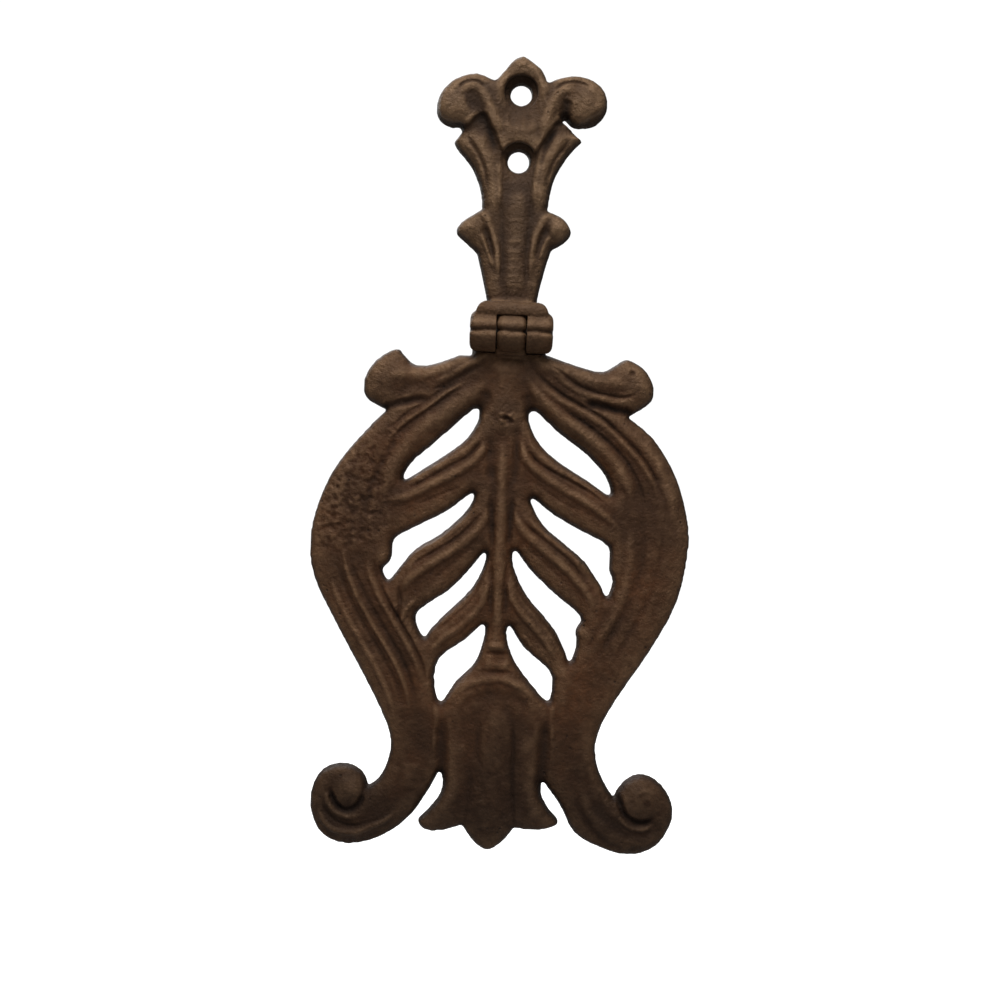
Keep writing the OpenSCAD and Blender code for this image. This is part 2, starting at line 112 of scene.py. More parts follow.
EDGE_ROUND, BACK_ROUND = 1.7, 0.5
BUMP_M = 0.0007                # height of the iron's grain
ROTATION_CLEARANCE = 0.03      # beyond the full radius, between a leaf and the other leaf's knuckles
WEB_HALF = 9.6                 # the webs of the outer knuckles reach this far from the middle
BEAD_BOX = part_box("neck_ring")
BEAD_R = 3.0                   # the moulding that overhangs the top of the barrel
BEAD_HALF = BEAD_BOX[1].x / MM
BEAD_W = -BEAD_BOX[0].y / MM - BEAD_R
BEAD_Z = BEAD_BOX[1].z / MM - BEAD_R


# ---------------------------------------------------------------- curves and smooth shapes

def curve(points, steps=6):
    """A smooth curve through a few points."""
    p = np.array(points, float)
    if len(p) < 3:
        return p
    ends = np.vstack([2 * p[0] - p[1], p, 2 * p[-1] - p[-2]])
    t = np.linspace(0, 1, steps, endpoint=False)[:, None]
    out = []
    for a, b, c, d in zip(ends, ends[1:], ends[2:], ends[3:]):
        out.append((2 * b + (c - a) * t + (2 * a - 5 * b + 4 * c - d) * t**2
                    + (3 * b - a - 3 * c + d) * t**3) / 2)
    return np.vstack(out + [p[-1:]])


def smooth_max(a, b, r):
    """The larger of two fields, with the corner between them rounded over r."""
    h = np.maximum(r - np.abs(a - b), 0) / r
    return np.maximum(a, b) + h * h * r / 4


def smooth_min(a, b, r):
    """The smaller of two fields, with the corner between them rounded over r."""
    return -smooth_max(-a, -b, r)


def fade(t):
    """Eases from 0 to 1."""
    t = np.clip(t, 0, 1)
    return t * t * (3 - 2 * t)


def blur(field, sigma):
    """Gaussian blur, sigma in cells."""
    reach = int(math.ceil(3 * sigma))
    k = np.exp(-0.5 * (np.arange(-reach, reach + 1) / sigma) ** 2)
    k /= k.sum()
    out = np.pad(field, reach, mode="edge")
    out = sum(w * out[i:i + field.shape[0], :] for i, w in enumerate(k))
    return sum(w * out[:, i:i + field.shape[1]] for i, w in enumerate(k))


# ---------------------------------------------------------------- the relief of one casting

class Relief:
    """The face of one casting: its outline, and its height over x and z."""

    def __init__(self, nodes, pitch, face_t, edge_t, round_over):
        self.pitch = pitch
        corners = [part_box(n) for n in nodes]
        low = [min(c[0][i] for c in corners) / MM for i in (0, 2)]
        high = [max(c[1][i] for c in corners) / MM for i in (0, 2)]
        margin = 4 * pitch
        self.x = np.arange(low[0] - margin, high[0] + margin, pitch)
        self.z = np.arange(low[1] - margin, high[1] + margin, pitch)
        cover = self.cover(nodes)
        self.side = self.signed_distance(blur(cover, OUTLINE_SOFT / pitch))
        depth = np.clip(-self.side / round_over, 0, 1)
        self.h = edge_t + (face_t - edge_t) * np.sqrt(1 - (1 - depth) ** 2)

    def cover(self, nodes):
        """1 where the CAD members stand, 0 outside them."""
        cover = np.zeros((len(self.x), len(self.z)))
        for name in nodes:
            mesh = frame["nodes"][name].data
            mesh.calc_loop_triangles()
            co = np.array([v.co for v in mesh.vertices])[:, [0, 2]] / MM
            for tri in mesh.loop_triangles:
                a, b, c = co[list(tri.vertices)]
                area = (b[0] - a[0]) * (c[1] - a[1]) - (b[1] - a[1]) * (c[0] - a[0])
                if abs(area) < 1e-9:
                    continue
                w = self.window([a, b, c], 0)
                gx, gz = np.meshgrid(self.x[w[0]], self.z[w[1]], indexing="ij")
                u = ((gx - a[0]) * (c[1] - a[1]) - (gz - a[1]) * (c[0] - a[0])) / area
                v = ((b[0] - a[0]) * (gz - a[1]) - (b[1] - a[1]) * (gx - a[0])) / area
                cover[w] = np.maximum(cover[w], (u >= 0) & (v >= 0) & (u + v <= 1))
        return cover

    def signed_distance(self, cover):
        """Distance to the outline, negative inside it."""
        points = []
        for axis in (0, 1):
            a = cover[:-1, :] if axis == 0 else cover[:, :-1]
            b = cover[1:, :] if axis == 0 else cover[:, 1:]
            i, j = np.nonzero((a > 0.5) != (b > 0.5))
            t = (0.5 - a[i, j]) / (b[i, j] - a[i, j])
            x = self.x[i] + (t * self.pitch if axis == 0 else 0)
            z = self.z[j] + (t * self.pitch if axis == 1 else 0)
            points.append(np.column_stack([x, z]))
        points = np.vstack(points)
        tree = kdtree.KDTree(len(points))
        for i, (x, z) in enumerate(points):
            tree.insert((x, z, 0), i)
        tree.balance()
        side = np.where(cover > 0.5, -FAR, FAR)
        near = blur(cover, 1.5 / self.pitch)
        for i, j in zip(*np.nonzero((near > 1e-3) | (cover > 0.5))):
            side[i, j] = math.copysign(
                min(tree.find((self.x[i], self.z[j], 0))[2], FAR), side[i, j])
        return blur(side, 0.6)

    def window(self, points, reach):
        """The block of cells within reach of some points."""
        p = np.array(points, float)
        lo, hi = p.min(0) - reach, p.max(0) + reach
        i = [int(max((lo[k] - g[0]) / self.pitch, 0)) for k, g in enumerate((self.x, self.z))]
        j = [int(max((hi[k] - g[0]) / self.pitch, 0)) + 2 for k, g in enumerate((self.x, self.z))]
        return slice(i[0], j[0]), slice(i[1], j[1])

    def along(self, points, reach):
        """For the cells near a curve: window, distance, share of its length, side of it."""
        p = curve(points)
        w = self.window(p, reach)
        gx, gz = np.meshgrid(self.x[w[0]], self.z[w[1]], indexing="ij")
        best = np.full(gx.shape, 1e9)
        share = np.zeros(gx.shape)
        sign = np.zeros(gx.shape)
        lengths = np.linalg.norm(np.diff(p, axis=0), axis=1)
        run = np.concatenate([[0], np.cumsum(lengths)])
        for a, b, n, s in zip(p, p[1:], lengths, run):
            if n < 1e-9:
                continue
            d = (b - a) / n
            t = np.clip((gx - a[0]) * d[0] + (gz - a[1]) * d[1], 0, n)
            dx, dz = gx - a[0] - t * d[0], gz - a[1] - t * d[1]
            dist = np.hypot(dx, dz)
            closer = dist < best
            best = np.where(closer, dist, best)
            share = np.where(closer, (s + t) / run[-1], share)
            sign = np.where(closer, np.sign(d[0] * dz - d[1] * dx), sign)
        return w, best, share, sign

    def ridge(self, points, width, height, taper=0.2):
        """A rounded strand along a curve; a negative height makes a groove."""
        w, dist, share, _ = self.along(points, width * 1.1)
        ends = fade(np.minimum(share, 1 - share) / max(taper, 1e-6)) if taper else 1
        local = width * (0.55 + 0.45 * ends)
        t = np.clip(dist / local, 0, 1)
        self.h[w] += height * ends * (1 - t * t) ** 2

    def groove(self, points, width, depth, taper=0.2):
        self.ridge(points, width, -depth, taper)

    def boss(self, x, z, radius, height):
        """A round dome."""
        w = self.window([(x, z)], radius)
        gx, gz = np.meshgrid(self.x[w[0]], self.z[w[1]], indexing="ij")
        t = np.clip(np.hypot(gx - x, gz - z) / radius, 0, 1)
        self.h[w] += height * (1 - t * t) ** 1.5

    def mask(self, area, feather):
        """1 inside an outline and 0 outside it, with a soft edge."""
        poly = curve(list(area) + [area[0]], 3)
        reach = 3 * feather + self.pitch
        w = self.window(poly, reach)
        gx, gz = np.meshgrid(self.x[w[0]], self.z[w[1]], indexing="ij")
        return w, blur(inside(poly, gx, gz).astype(float), feather / self.pitch)

    def level(self, area, height, feather=0.35):
        """Raises or lowers everything inside an outline."""
        w, share = self.mask(area, feather)
        self.h[w] += height * share

    def crust(self, rng, area, depth, feather=3.0):
        """A scabbed, pockmarked patch."""
        w, share = self.mask(area, feather)
        shape = share.shape
        fine = blur(rng.standard_normal(shape), 0.42 / self.pitch)
        wide = blur(rng.standard_normal(shape), 1.1 / self.pitch)
        lumps = fine / fine.std() + 0.8 * wide / wide.std()
        self.h[w] += depth * share * (np.tanh(lumps) - 0.5 * np.maximum(-lumps - 1, 0))

    def skin(self, rng, scale, depth):
        """The sand's texture on the cast face."""
        noise = blur(rng.standard_normal(self.h.shape), scale / self.pitch)
        self.h += depth * noise / noise.std()

    def pits(self, rng, count, area, size, depth):
        """Small craters with a faint rim, scattered inside an outline."""
        poly = curve(list(area) + [area[0]])
        lo, hi = poly.min(0), poly.max(0)
        made = 0
        while made < count:
            x, z = lo + rng.random(2) * (hi - lo)
            r = size[0] + rng.random() ** 2 * (size[1] - size[0])
            stretch = 0.6 + 0.8 * rng.random()
            if not inside(poly, x, z):
                continue
            made += 1
            w = self.window([(x, z)], 2.2 * r)
            gx, gz = np.meshgrid(self.x[w[0]], self.z[w[1]], indexing="ij")
            t = np.hypot((gx - x) / stretch, gz - z) / r
            self.h[w] += depth * (0.35 * np.exp(-((t - 1.25) / 0.35) ** 2)
                                  - np.exp(-(t / 0.75) ** 2)) * (0.5 + rng.random())


def inside(poly, x, z):
    """Whether points, or a single point, lie within an outline."""
    within = np.zeros(np.shape(x), bool)
    for a, b in zip(poly, poly[1:]):
        if a[1] != b[1]:
            at = a[0] + (z - a[1]) * (b[0] - a[0]) / (b[1] - a[1])
            within = within ^ (((a[1] > z) != (b[1] > z)) & (x < at))
    return within


# ---------------------------------------------------------------- from a field to a closed mesh

def surface_net(field, origin, pitch):
    """The surface where a field changes sign, as points in millimetres and quads."""
    solid = field < 0
    nx, ny, nz = field.shape
    corners = [(i, j, k) for i in (0, 1) for j in (0, 1) for k in (0, 1)]

    def corner(a, c):
        return a[c[0]:nx - 1 + c[0], c[1]:ny - 1 + c[1], c[2]:nz - 1 + c[2]]

    some = np.zeros((nx - 1, ny - 1, nz - 1), bool)
    every = np.ones_like(some)
    for c in corners:
        some |= corner(solid, c)
        every &= corner(solid, c)
    cells = np.argwhere(some & ~every)
    number = np.full(some.shape, -1, np.int64)
    number[tuple(cells.T)] = np.arange(len(cells))
    values = {c: field[tuple((cells + c).T)] for c in corners}
    total = np.zeros((len(cells), 3))
    count = np.zeros(len(cells))
    for c in corners:
        for axis in range(3):
            if c[axis]:
                continue
            d = tuple(1 if n == axis else v for n, v in enumerate(c))
            a, b = values[c], values[d]
            cut = (a < 0) != (b < 0)
            t = np.where(cut, a / np.where(cut, a - b, 1), 0)
            point = np.tile(np.array(c, float), (len(cells), 1))
            point[:, axis] += t
            total += point * cut[:, None]
            count += cut
    points = cells + total / count[:, None]
    quads = []
    for axis in range(3):
        u, v = [n for n in range(3) if n != axis]
        near = tuple(slice(0, -1) if n == axis else slice(1, -1) for n in range(3))
        far = tuple(slice(1, None) if n == axis else slice(1, -1) for n in range(3))
        cut = solid[near] != solid[far]
        at = np.argwhere(cut)
        rising = solid[near][tuple(at.T)]
        at[:, u] += 1
        at[:, v] += 1
        ring = []
        for du, dv in ((1, 1), (0, 1), (0, 0), (1, 0)):
            cell = at.copy()
            cell[:, u] -= du
            cell[:, v] -= dv
            ring.append(number[tuple(cell.T)])
        ring = np.column_stack(ring)
        flip = rising if axis != 1 else ~rising
        ring[~flip] = ring[~flip][:, ::-1]
        quads.append(ring)
    return np.array(origin) + points * pitch, np.vstack(quads)


def new_object(name, points, faces):
    """A mesh object from points in metres, in the scene."""
    mesh = bpy.data.meshes.new(name)
    mesh.from_pydata(points, [], faces)
    mesh.update()
    obj = bpy.data.objects.new(name, mesh)
    bpy.context.scene.collection.objects.link(obj)
    return obj


def shade_smooth(obj):
    for p in obj.data.polygons:
        p.use_smooth = True


def settle(points, field, origin, pitch, turns=2):
    """Moves points onto the surface of a field by steps along its slope."""
    def sample(p):
        g = np.clip((p - origin) / pitch, 0, np.array(field.shape) - 1.001)
        i = g.astype(int)
        f = g - i
        total = 0
        for c in range(8):
            d = np.array([c >> 2 & 1, c >> 1 & 1, c & 1])
            weight = np.prod(np.where(d, f, 1 - f), axis=1)
            total = total + weight * field[tuple((i + d).T)]
        return total

    reach = 0.5 * pitch
    for _ in range(turns):
        slope = np.column_stack([
            (sample(points + reach * e) - sample(points - reach * e)) / (2 * reach)
            for e in np.eye(3)])
        steep = np.maximum((slope**2).sum(1), 0.05)
        move = -(sample(points) / steep)[:, None] * slope
        points = points + np.clip(move, -reach, reach)
    return points


def casting(name, relief, extra, triangles):
    """Builds the closed mesh of one leaf. extra(x, w, z, f) adds and cuts what isn't relief;
    w is the height above the back plane."""
    pitch = relief.pitch
    top = max(relief.h.max(), -2 * BARREL_Y) + 4 * pitch
    w = np.arange(-4 * pitch, top, pitch)
    x = relief.x[:, None, None].astype(np.float32)
    z = relief.z[None, None, :].astype(np.float32)
    w = w[None, :, None].astype(np.float32)
    h = relief.h[:, None, :].astype(np.float32)
    side = relief.side[:, None, :].astype(np.float32)
    slope = np.hypot(*np.gradient(blur(relief.h, 1.0), pitch))[:, None, :]
    steep = np.sqrt(1 + np.minimum(slope, 2.5) ** 2).astype(np.float32)
    front = smooth_max(side + DRAFT * w, (w - h) / steep, EDGE_ROUND)
    f = smooth_max(front, -w, BACK_ROUND)
    f = extra(x, w, z, f)
    origin = np.array([relief.x[0], w[0, 0, 0], relief.z[0]], float)
    points, quads = surface_net(f, origin, pitch)
    points = settle(points, f, origin, pitch)
    points[:, 1] *= -1
    obj = new_object(name, (points * MM).tolist(), quads.tolist())
    found = 2 * len(quads)
    if found > triangles:
        thin = obj.modifiers.new("thin", "DECIMATE")
        thin.ratio = triangles / found
        evaluated = obj.evaluated_get(bpy.context.evaluated_depsgraph_get())
        obj.data = bpy.data.meshes.new_from_object(evaluated)
        obj.modifiers.clear()
    shade_smooth(obj)
    write_attributes(obj, relief)
    return obj


def write_attributes(obj, relief):
    """Gives each vertex two colour masks: one lightens with wear where it stands proud and with
    painted highlight on the barrel's rings; one darkens with patina where it lies below the face and
    with painted shade in the groove and on side walls.
    """
    mesh = obj.data
    co = np.zeros(len(mesh.vertices) * 3)
    mesh.vertices.foreach_get("co", co)
    co = co.reshape(-1, 3) / MM
    proud = relief.h - blur(relief.h, 1.3 / relief.pitch)
    broad = relief.h - blur(relief.h, 3.5 / relief.pitch)
    soft = blur(relief.h, 0.55 / relief.pitch) - blur(relief.h, 1.6 / relief.pitch)
    gx = np.clip((co[:, 0] - relief.x[0]) / relief.pitch, 0, len(relief.x) - 1).astype(int)
    gz = np.clip((co[:, 2] - relief.z[0]) / relief.pitch, 0, len(relief.z) - 1).astype(int)
    height = relief.h[gx, gz]
    on_face = np.clip(1 - (height + co[:, 1]) / 1.5, 0, 1)
    # Lighter on what stands proud: wear, and painted highlight on the ridges.
    wear_and_highlight_mask = np.clip(proud[gx, gz] * 1.8 + broad[gx, gz] * 0.4, 0, 1) * on_face
    # Darker where it lies below the face around it: patina in the hollows, and painted shade there.
    patina_and_shade = np.clip(-soft[gx, gz] * 1.3 - broad[gx, gz] * 0.35, 0, 1) * on_face
    # The knuckles and the moulding stand above the relief: some wear, painted highlight on their
    # rings' upper slopes, painted shade in the groove.
    above = np.clip(-co[:, 1] - height - 0.4, 0, 1)
    rise = np.degrees(np.arctan2(co[:, 2] - BARREL_Z, BARREL_Y - co[:, 1]))
    # Painted highlight on the upward-facing slopes of the rings, as if lit from above.
    painted_ring_highlight = 0.45 * np.exp(-(((rise - 24) / 9) ** 2)) + 0.45 * np.exp(-(((rise + 12) / 8) ** 2))
    # Painted shade in the groove between the barrel's rings.
    painted_groove_shade = 0.5 * np.exp(-(((rise - 1) / 4) ** 2))
    # The side walls, which lie below the face, also take painted shade.
    values = {
        "wear_and_highlight_mask": wear_and_highlight_mask * (1 - above) + (0.42 + painted_ring_highlight) * above,
        "patina_and_shade": patina_and_shade * (1 - above) + painted_groove_shade * above + 0.45 * (1 - on_face),
    }
    for key, value in values.items():
        layer = mesh.attributes.new(key, "FLOAT", "POINT")
        layer.data.foreach_set("value", value.astype(np.float32))


# ---------------------------------------------------------------- the frame leaf

UNDER_FAN = [(-32, 4), (-17, -0.4), (-13.6, 1.8), (-10.8, 3), (-8.2, -1), (-6, -5.4),
             (-4.6, -7.6), (0, -6.8), (4.6, -7.8), (6, -6.2), (8.8, -1.6), (11.8, 2),
             (16, -0.4), (32, 4), (32, -60), (0, -64), (-32, -60)]


def frame_relief(nodes, pitch):
    face = Relief(nodes, pitch, face_t=6.6, edge_t=3.6, round_over=4.5)
    # The palmette lies over the shoulder leaves: its edge is a ledge all the way across.
    face.level(UNDER_FAN, -1.5)
    # It dips at the foot of each screw hole and rises towards its own lower edge.
    face.boss(0, 5.5, 7.5, -1.7)
    face.boss(0, -15.5, 6.5, -0.6)
    # Crest and the horseshoe rim round the upper hole.
    face.ridge([(-6, 6.6), (-6.4, 12), (-4.2, 16.4), (0, 18.4), (4.2, 16.4), (6.6, 12),
                (6.2, 6.6)], 2.0, 0.5)
    # Volutes: outer roll, coil groove, crescent and the round bulb.
    face.boss(-19.6, 5.6, 5.6, 1.0)
    face.boss(19.4, 7.4, 6.2, 1.0)
    face.ridge([(-8.5, 12.2), (-14, 13.2), (-19, 11.8), (-22.6, 8), (-23, 4), (-20.5, 1.6)],
               2.6, 0.5)
    face.ridge([(8.5, 12), (15, 13.9), (20, 12.6), (23.6, 9.4), (23.8, 5.5), (21, 2.6)],
               2.6, 0.5)
    face.groove([(-10.4, 10), (-13.2, 12), (-17, 11.6), (-19, 9.6)], 0.8, 0.5)
    face.groove([(9.8, 10), (11.6, 12), (14.6, 13), (18.4, 12.6), (20.4, 11)], 0.8, 0.5)
    face.ridge([(-18.6, 7.6), (-17.4, 9.4), (-14.6, 10.7), (-12, 9.6), (-10.2, 6.8),
                (-8, 1.6), (-5.4, -3.2)], 2.3, 0.8)
    face.ridge([(6, -3.6), (7.6, 1.4), (9.2, 6.4), (11.2, 9.8), (14, 11), (17.4, 11)], 2.2, 0.7)
    face.groove([(-17, 5.4), (-14.8, 5.8), (-12.9, 4.2), (-11.8, 2.2)], 3.0, 0.45)
    face.groove([(14.2, 8), (13.4, 6), (13.1, 4), (13.2, 2)], 2.4, 0.8)
    # The fan's faint flutes.
    for i, x in enumerate((-3.4, -1.3, 0.9, 3.2)):
        face.ridge([(x * 1.3, 3.4), (x * 1.05, 0), (x * 0.9, -3.4)], 1.0 + 0.3 * (i % 2), 0.14)
    # Shoulder leaves: soft strands running down into the neck.
    face.ridge([(-15, -1.4), (-11.8, -5.6), (-9, -11.4), (-7.2, -18), (-6.3, -27)], 3.0, 0.7)
    face.groove([(-16.2, -3.2), (-13, -7.2), (-10.4, -12.4), (-8.8, -19)], 1.0, 0.35)
    face.ridge([(-16.6, -5.4), (-13.6, -8.6), (-11.2, -13), (-9.8, -19)], 1.0, 0.35)
    face.groove([(-10.8, 1), (-8.8, -3.4), (-6.9, -8), (-5.8, -13)], 1.1, 0.35)
    face.ridge([(-7.6, -5), (-6.4, -10), (-5.4, -16), (-4.8, -26)], 1.2, 0.4)
    face.ridge([(14.4, -0.8), (11.3, -5), (8.6, -10.4), (6.9, -17), (6, -26)], 3.0, 0.7)
    face.groove([(15.6, -3), (12.2, -7.4), (9.6, -12.4), (8, -19)], 1.0, 0.3)
    face.ridge([(14.6, -6.4), (12, -9.6), (10.2, -13.6), (9, -18)], 1.0, 0.35)
    face.groove([(11.6, 0), (9.4, -3.6), (7.4, -8), (6, -13)], 1.1, 0.35)
    face.ridge([(7.6, -5), (6.2, -10), (5.2, -16), (4.6, -25)], 1.2, 0.4)
    # Neck: a gently raised centre with faint cross ripples.
    face.ridge([(0, -17), (0, -28), (0, -40), (0, -54)], 4.2, 0.85)
    face.groove([(-5, -18), (-4.4, -27), (-3.9, -36), (-3.6, -50)], 1.0, 0.2)
    face.groove([(4.8, -18), (4.3, -27), (3.9, -36), (3.6, -50)], 1.0, 0.2)
    for i, z in enumerate((-28.4, -34.6, -37.6, -40, -42.6, -45.2, -47.8)):
        face.ridge([(-2.6, z - 0.4), (0, z), (2.6 - 0.3 * (i % 3), z - 0.3)], 0.8, 0.12)
    # Neck volutes.
    face.boss(-13.8, -30.2, 4.2, 1.0)
    face.boss(13.2, -29.8, 4.2, 1.0)
    face.ridge([(-12, -25.6), (-9, -27.8), (-7, -32), (-5.5, -37.5), (-4.4, -46)], 1.7, 0.7)
    face.groove([(-9.8, -29.8), (-8.5, -32.6), (-7.2, -36.6), (-6.2, -40.5)], 1.5, 0.5)
    face.ridge([(-10.4, -32.4), (-8.9, -36), (-7.4, -39.6), (-6.2, -43.4)], 0.9, 0.6)
    face.ridge([(12.4, -25.4), (8.8, -27), (6.6, -31), (5.4, -36), (4.5, -45)], 1.8, 0.6)
    face.groove([(10.4, -29.4), (8.4, -32), (7, -35.6), (6.1, -40)], 1.6, 0.5)
    face.ridge([(10.6, -32.4), (8.8, -35.4), (7.4, -40)], 1.0, 0.5)
    # Swells towards the moulding above the barrel.
    face.ridge([(-7.6, -53.6), (0, -53.2), (7.2, -53.6)], 2.4, 0.9, taper=0.1)
    return face


# ---------------------------------------------------------------- the door leaf

# Each stroke is a curve, half its width, and its height: a negative height is a groove.
LEAVES_LEFT = [
    ([(-7, -90), (-11, -96), (-18, -100.8), (-25, -105), (-31, -109)], 1.1, 0.45),
    ([(-6, -91.4), (-10.4, -98), (-17.4, -102.6), (-24.4, -106.9), (-31, -110.6)], 0.75, -0.5),
    ([(-4, -92), (-9.4, -100), (-16, -104.6), (-23, -108.4), (-29.6, -111.8), (-37, -113)],
     2.0, 0.8),
    ([(-12, -107.4), (-19, -110.6), (-26, -114)], 0.7, -0.2),
    ([(-8, -113.5), (-13, -119.5), (-20, -124.8), (-27, -129)], 1.1, 0.45),
    ([(-6, -114.6), (-11.4, -121.2), (-17.6, -126), (-24.6, -130.4), (-28, -133.6)], 0.75, -0.5),
    ([(-3.6, -113), (-9, -122), (-15.4, -127.4), (-21.6, -131.6), (-27, -136), (-30.4, -141)],
     2.0, 0.85),
    ([(-9.4, -126), (-15, -131.4), (-21, -136.4)], 0.7, -0.2),
    ([(-25, -142), (-27.6, -145), (-29.4, -149.4)], 1.0, 0.5),
    ([(-30.6, -137.6), (-29.8, -143), (-30.6, -149)], 0.9, -0.5),
    ([(-4.8, -133), (-8.4, -141), (-14, -147), (-19.6, -152)], 0.7, -0.4),
    ([(-2.8, -134), (-6, -143), (-11, -149), (-16.6, -153.4), (-20.6, -157.6)], 1.6, 0.7),
]
LEAVES_RIGHT = [
    ([(5.8, -91), (8.4, -96), (13.4, -100.4), (20, -103.8), (28, -108.4)], 1.1, 0.45),
    ([(4.8, -92.6), (8, -98.6), (13.6, -102.4), (20, -105.5), (26, -108.7), (31.4, -112.6)],
     0.75, -0.6),
    ([(2.6, -92), (6.6, -100), (12, -104.4), (18, -107.9), (24, -111), (30, -115), (34.6, -119)],
     1.9, 0.8),
    ([(8, -105.6), (15, -110), (23, -114.6)], 0.7, -0.2),
    ([(6, -115.4), (10.6, -119.6), (16, -123.6), (22, -128), (27.4, -133.6)], 1.0, 0.5),
    ([(4.4, -116.4), (9.6, -121), (15.3, -125.1), (20.4, -129.2), (25.4, -135)], 0.75, -0.55),
    ([(2, -113), (6, -120.4), (12, -125.6), (17, -129.6), (22, -134), (26, -139), (28.6, -144)],
     1.9, 0.85),
    ([(7.4, -125.6), (13, -130), (19, -135.4)], 0.7, -0.2),
    ([(3, -133), (6.4, -140), (11.4, -145.6), (16.2, -151.2), (19.6, -157)], 0.7, -0.5),
    ([(1, -134), (4.6, -142.6), (9.4, -148), (14, -153), (17.6, -159)], 1.5, 0.8),
    ([(7.3, -151.4), (9.8, -155)], 0.7, 0.3),
]
ARM_LEFT = [
    ([(-9, -67.4), (-14, -70.2), (-20, -73), (-28, -75), (-38, -75.4)], 3.4, 0.7),
    ([(-5.6, -67.2), (-11, -70.8), (-17, -74.8), (-23, -77.6)], 1.3, 0.6),
    ([(-6.6, -70.4), (-12, -73.8), (-18, -77.4), (-24, -80.2)], 0.9, -0.4),
    ([(-39.4, -86), (-35, -84.8), (-29.4, -83.2), (-22.6, -82)], 1.7, -0.85),
    ([(-12, -75.4), (-18.6, -78.8), (-24.8, -83.4), (-31.2, -88), (-35.4, -92.6)], 0.8, -0.35),
    ([(-11, -76), (-17.7, -79.8), (-23.9, -84.8), (-30.1, -89.2), (-35.6, -95)], 0.85, 0.45),
    ([(-13, -78.2), (-19, -82), (-24.8, -86.6), (-31, -91.4), (-35.6, -97)], 0.8, -0.3),
    ([(-4.6, -73), (-10, -79.4), (-18, -85.6), (-25, -91), (-30.6, -97), (-34.6, -104),
      (-36.6, -114)], 3.4, 0.8),
    ([(-34, -97.6), (-38, -104), (-40.4, -112), (-41, -121)], 1.4, -0.3),
    ([(-36, -89), (-44, -100), (-48.6, -112), (-50, -125), (-47, -139), (-41.4, -151),
      (-34.6, -164), (-28.6, -177), (-26, -192)], 8.0, 0.5),
    ([(-48, -126), (-46, -134), (-42.8, -141.4), (-38.6, -148.6), (-34.4, -155),
      (-30.6, -161), (-27.4, -168), (-25.2, -177)], 1.0, 0.65),
    ([(-49.6, -128), (-47.8, -135), (-44.6, -142.6), (-40.4, -149.8), (-36.2, -156.2),
      (-32.4, -162.4), (-29.2, -169), (-27, -177)], 1.0, -0.4),
    ([(-46.4, -127), (-44.2, -133.4), (-40.8, -140.4), (-36.6, -147.4), (-32.4, -153.8),
      (-28.6, -160), (-25.6, -166.4), (-23.4, -175)], 1.1, -0.4),
    ([(-51.6, -134), (-48.6, -142), (-44.4, -149.6), (-40, -156.4), (-36, -163), (-32.4, -170),
      (-29.8, -178)], 1.3, 0.5),
    ([(-38.6, -128), (-37.4, -134), (-34.9, -140), (-31.5, -146), (-28, -151.4), (-25, -156.4),
      (-22.6, -161), (-20.6, -168)], 0.8, -0.55),
    ([(-40.6, -129), (-38.6, -136.4), (-35.4, -143), (-31.6, -149), (-28, -154.4),
      (-24.8, -160), (-22, -167)], 1.2, 0.5),
]
ARM_RIGHT = [
    ([(5.8, -67.6), (10, -70.2), (17, -72.8), (26, -75), (37, -75.4)], 3.2, 0.7),
    ([(10.6, -70.2), (15, -72.8), (20, -76.2), (25, -78.2), (30, -79.2), (34, -79.5),
      (37.4, -78.4), (39, -75.8)], 0.75, -0.45),
    ([(12, -73), (20, -78), (26, -79.8), (33, -81), (38, -80.2)], 1.3, 0.4),
    ([(22, -81.4), (28, -82.6), (33, -83.6), (38, -83.6)], 1.9, -1.1),
    ([(4.8, -69.4), (8, -73.4), (12, -76.8), (16, -79.6), (20, -81.8), (24, -83.8), (28, -86),
      (31, -88.4), (34, -91.2), (37, -93.8), (40, -97), (43, -101), (45.4, -105.4),
      (47.4, -111)], 0.85, -0.55),
    ([(5, -72), (9.6, -77), (14.6, -80.9), (20, -83.6), (26, -86.6), (31, -90), (36, -94.6),
      (40.4, -99.4), (43.6, -104.6), (45.4, -110)], 1.6, 0.6),
    ([(14, -82.6), (19, -85.6), (23, -87.8), (27, -90.6), (31, -93.8), (35, -97.8), (38, -102),
      (40.8, -108), (41.6, -114)], 0.85, -0.5),
    ([(4, -72.8), (9, -79.8), (15, -85.4), (21, -89.6), (27, -93.8), (32, -99), (36, -105),
      (38, -112)], 2.6, 0.9),
    ([(26, -83.6), (34, -88), (41, -94.4), (46, -101), (49.4, -109), (50.6, -118)], 2.2, 0.4),
    ([(36, -89), (44, -99), (47.4, -111), (48, -124), (45.6, -138), (40.4, -151), (33.6, -164),
      (28.4, -177), (26.4, -192)], 8.0, 0.5),
    ([(37.4, -116), (38, -128), (36, -139), (31.4, -149), (26.6, -158)], 2.2, 0.35),
    ([(41.6, -114), (41.8, -126), (39, -139), (33.6, -150), (28, -160)], 1.4, -0.25),
    ([(47, -112), (47, -126), (43.6, -140), (37.6, -152), (31.4, -163)], 1.2, -0.18),
]
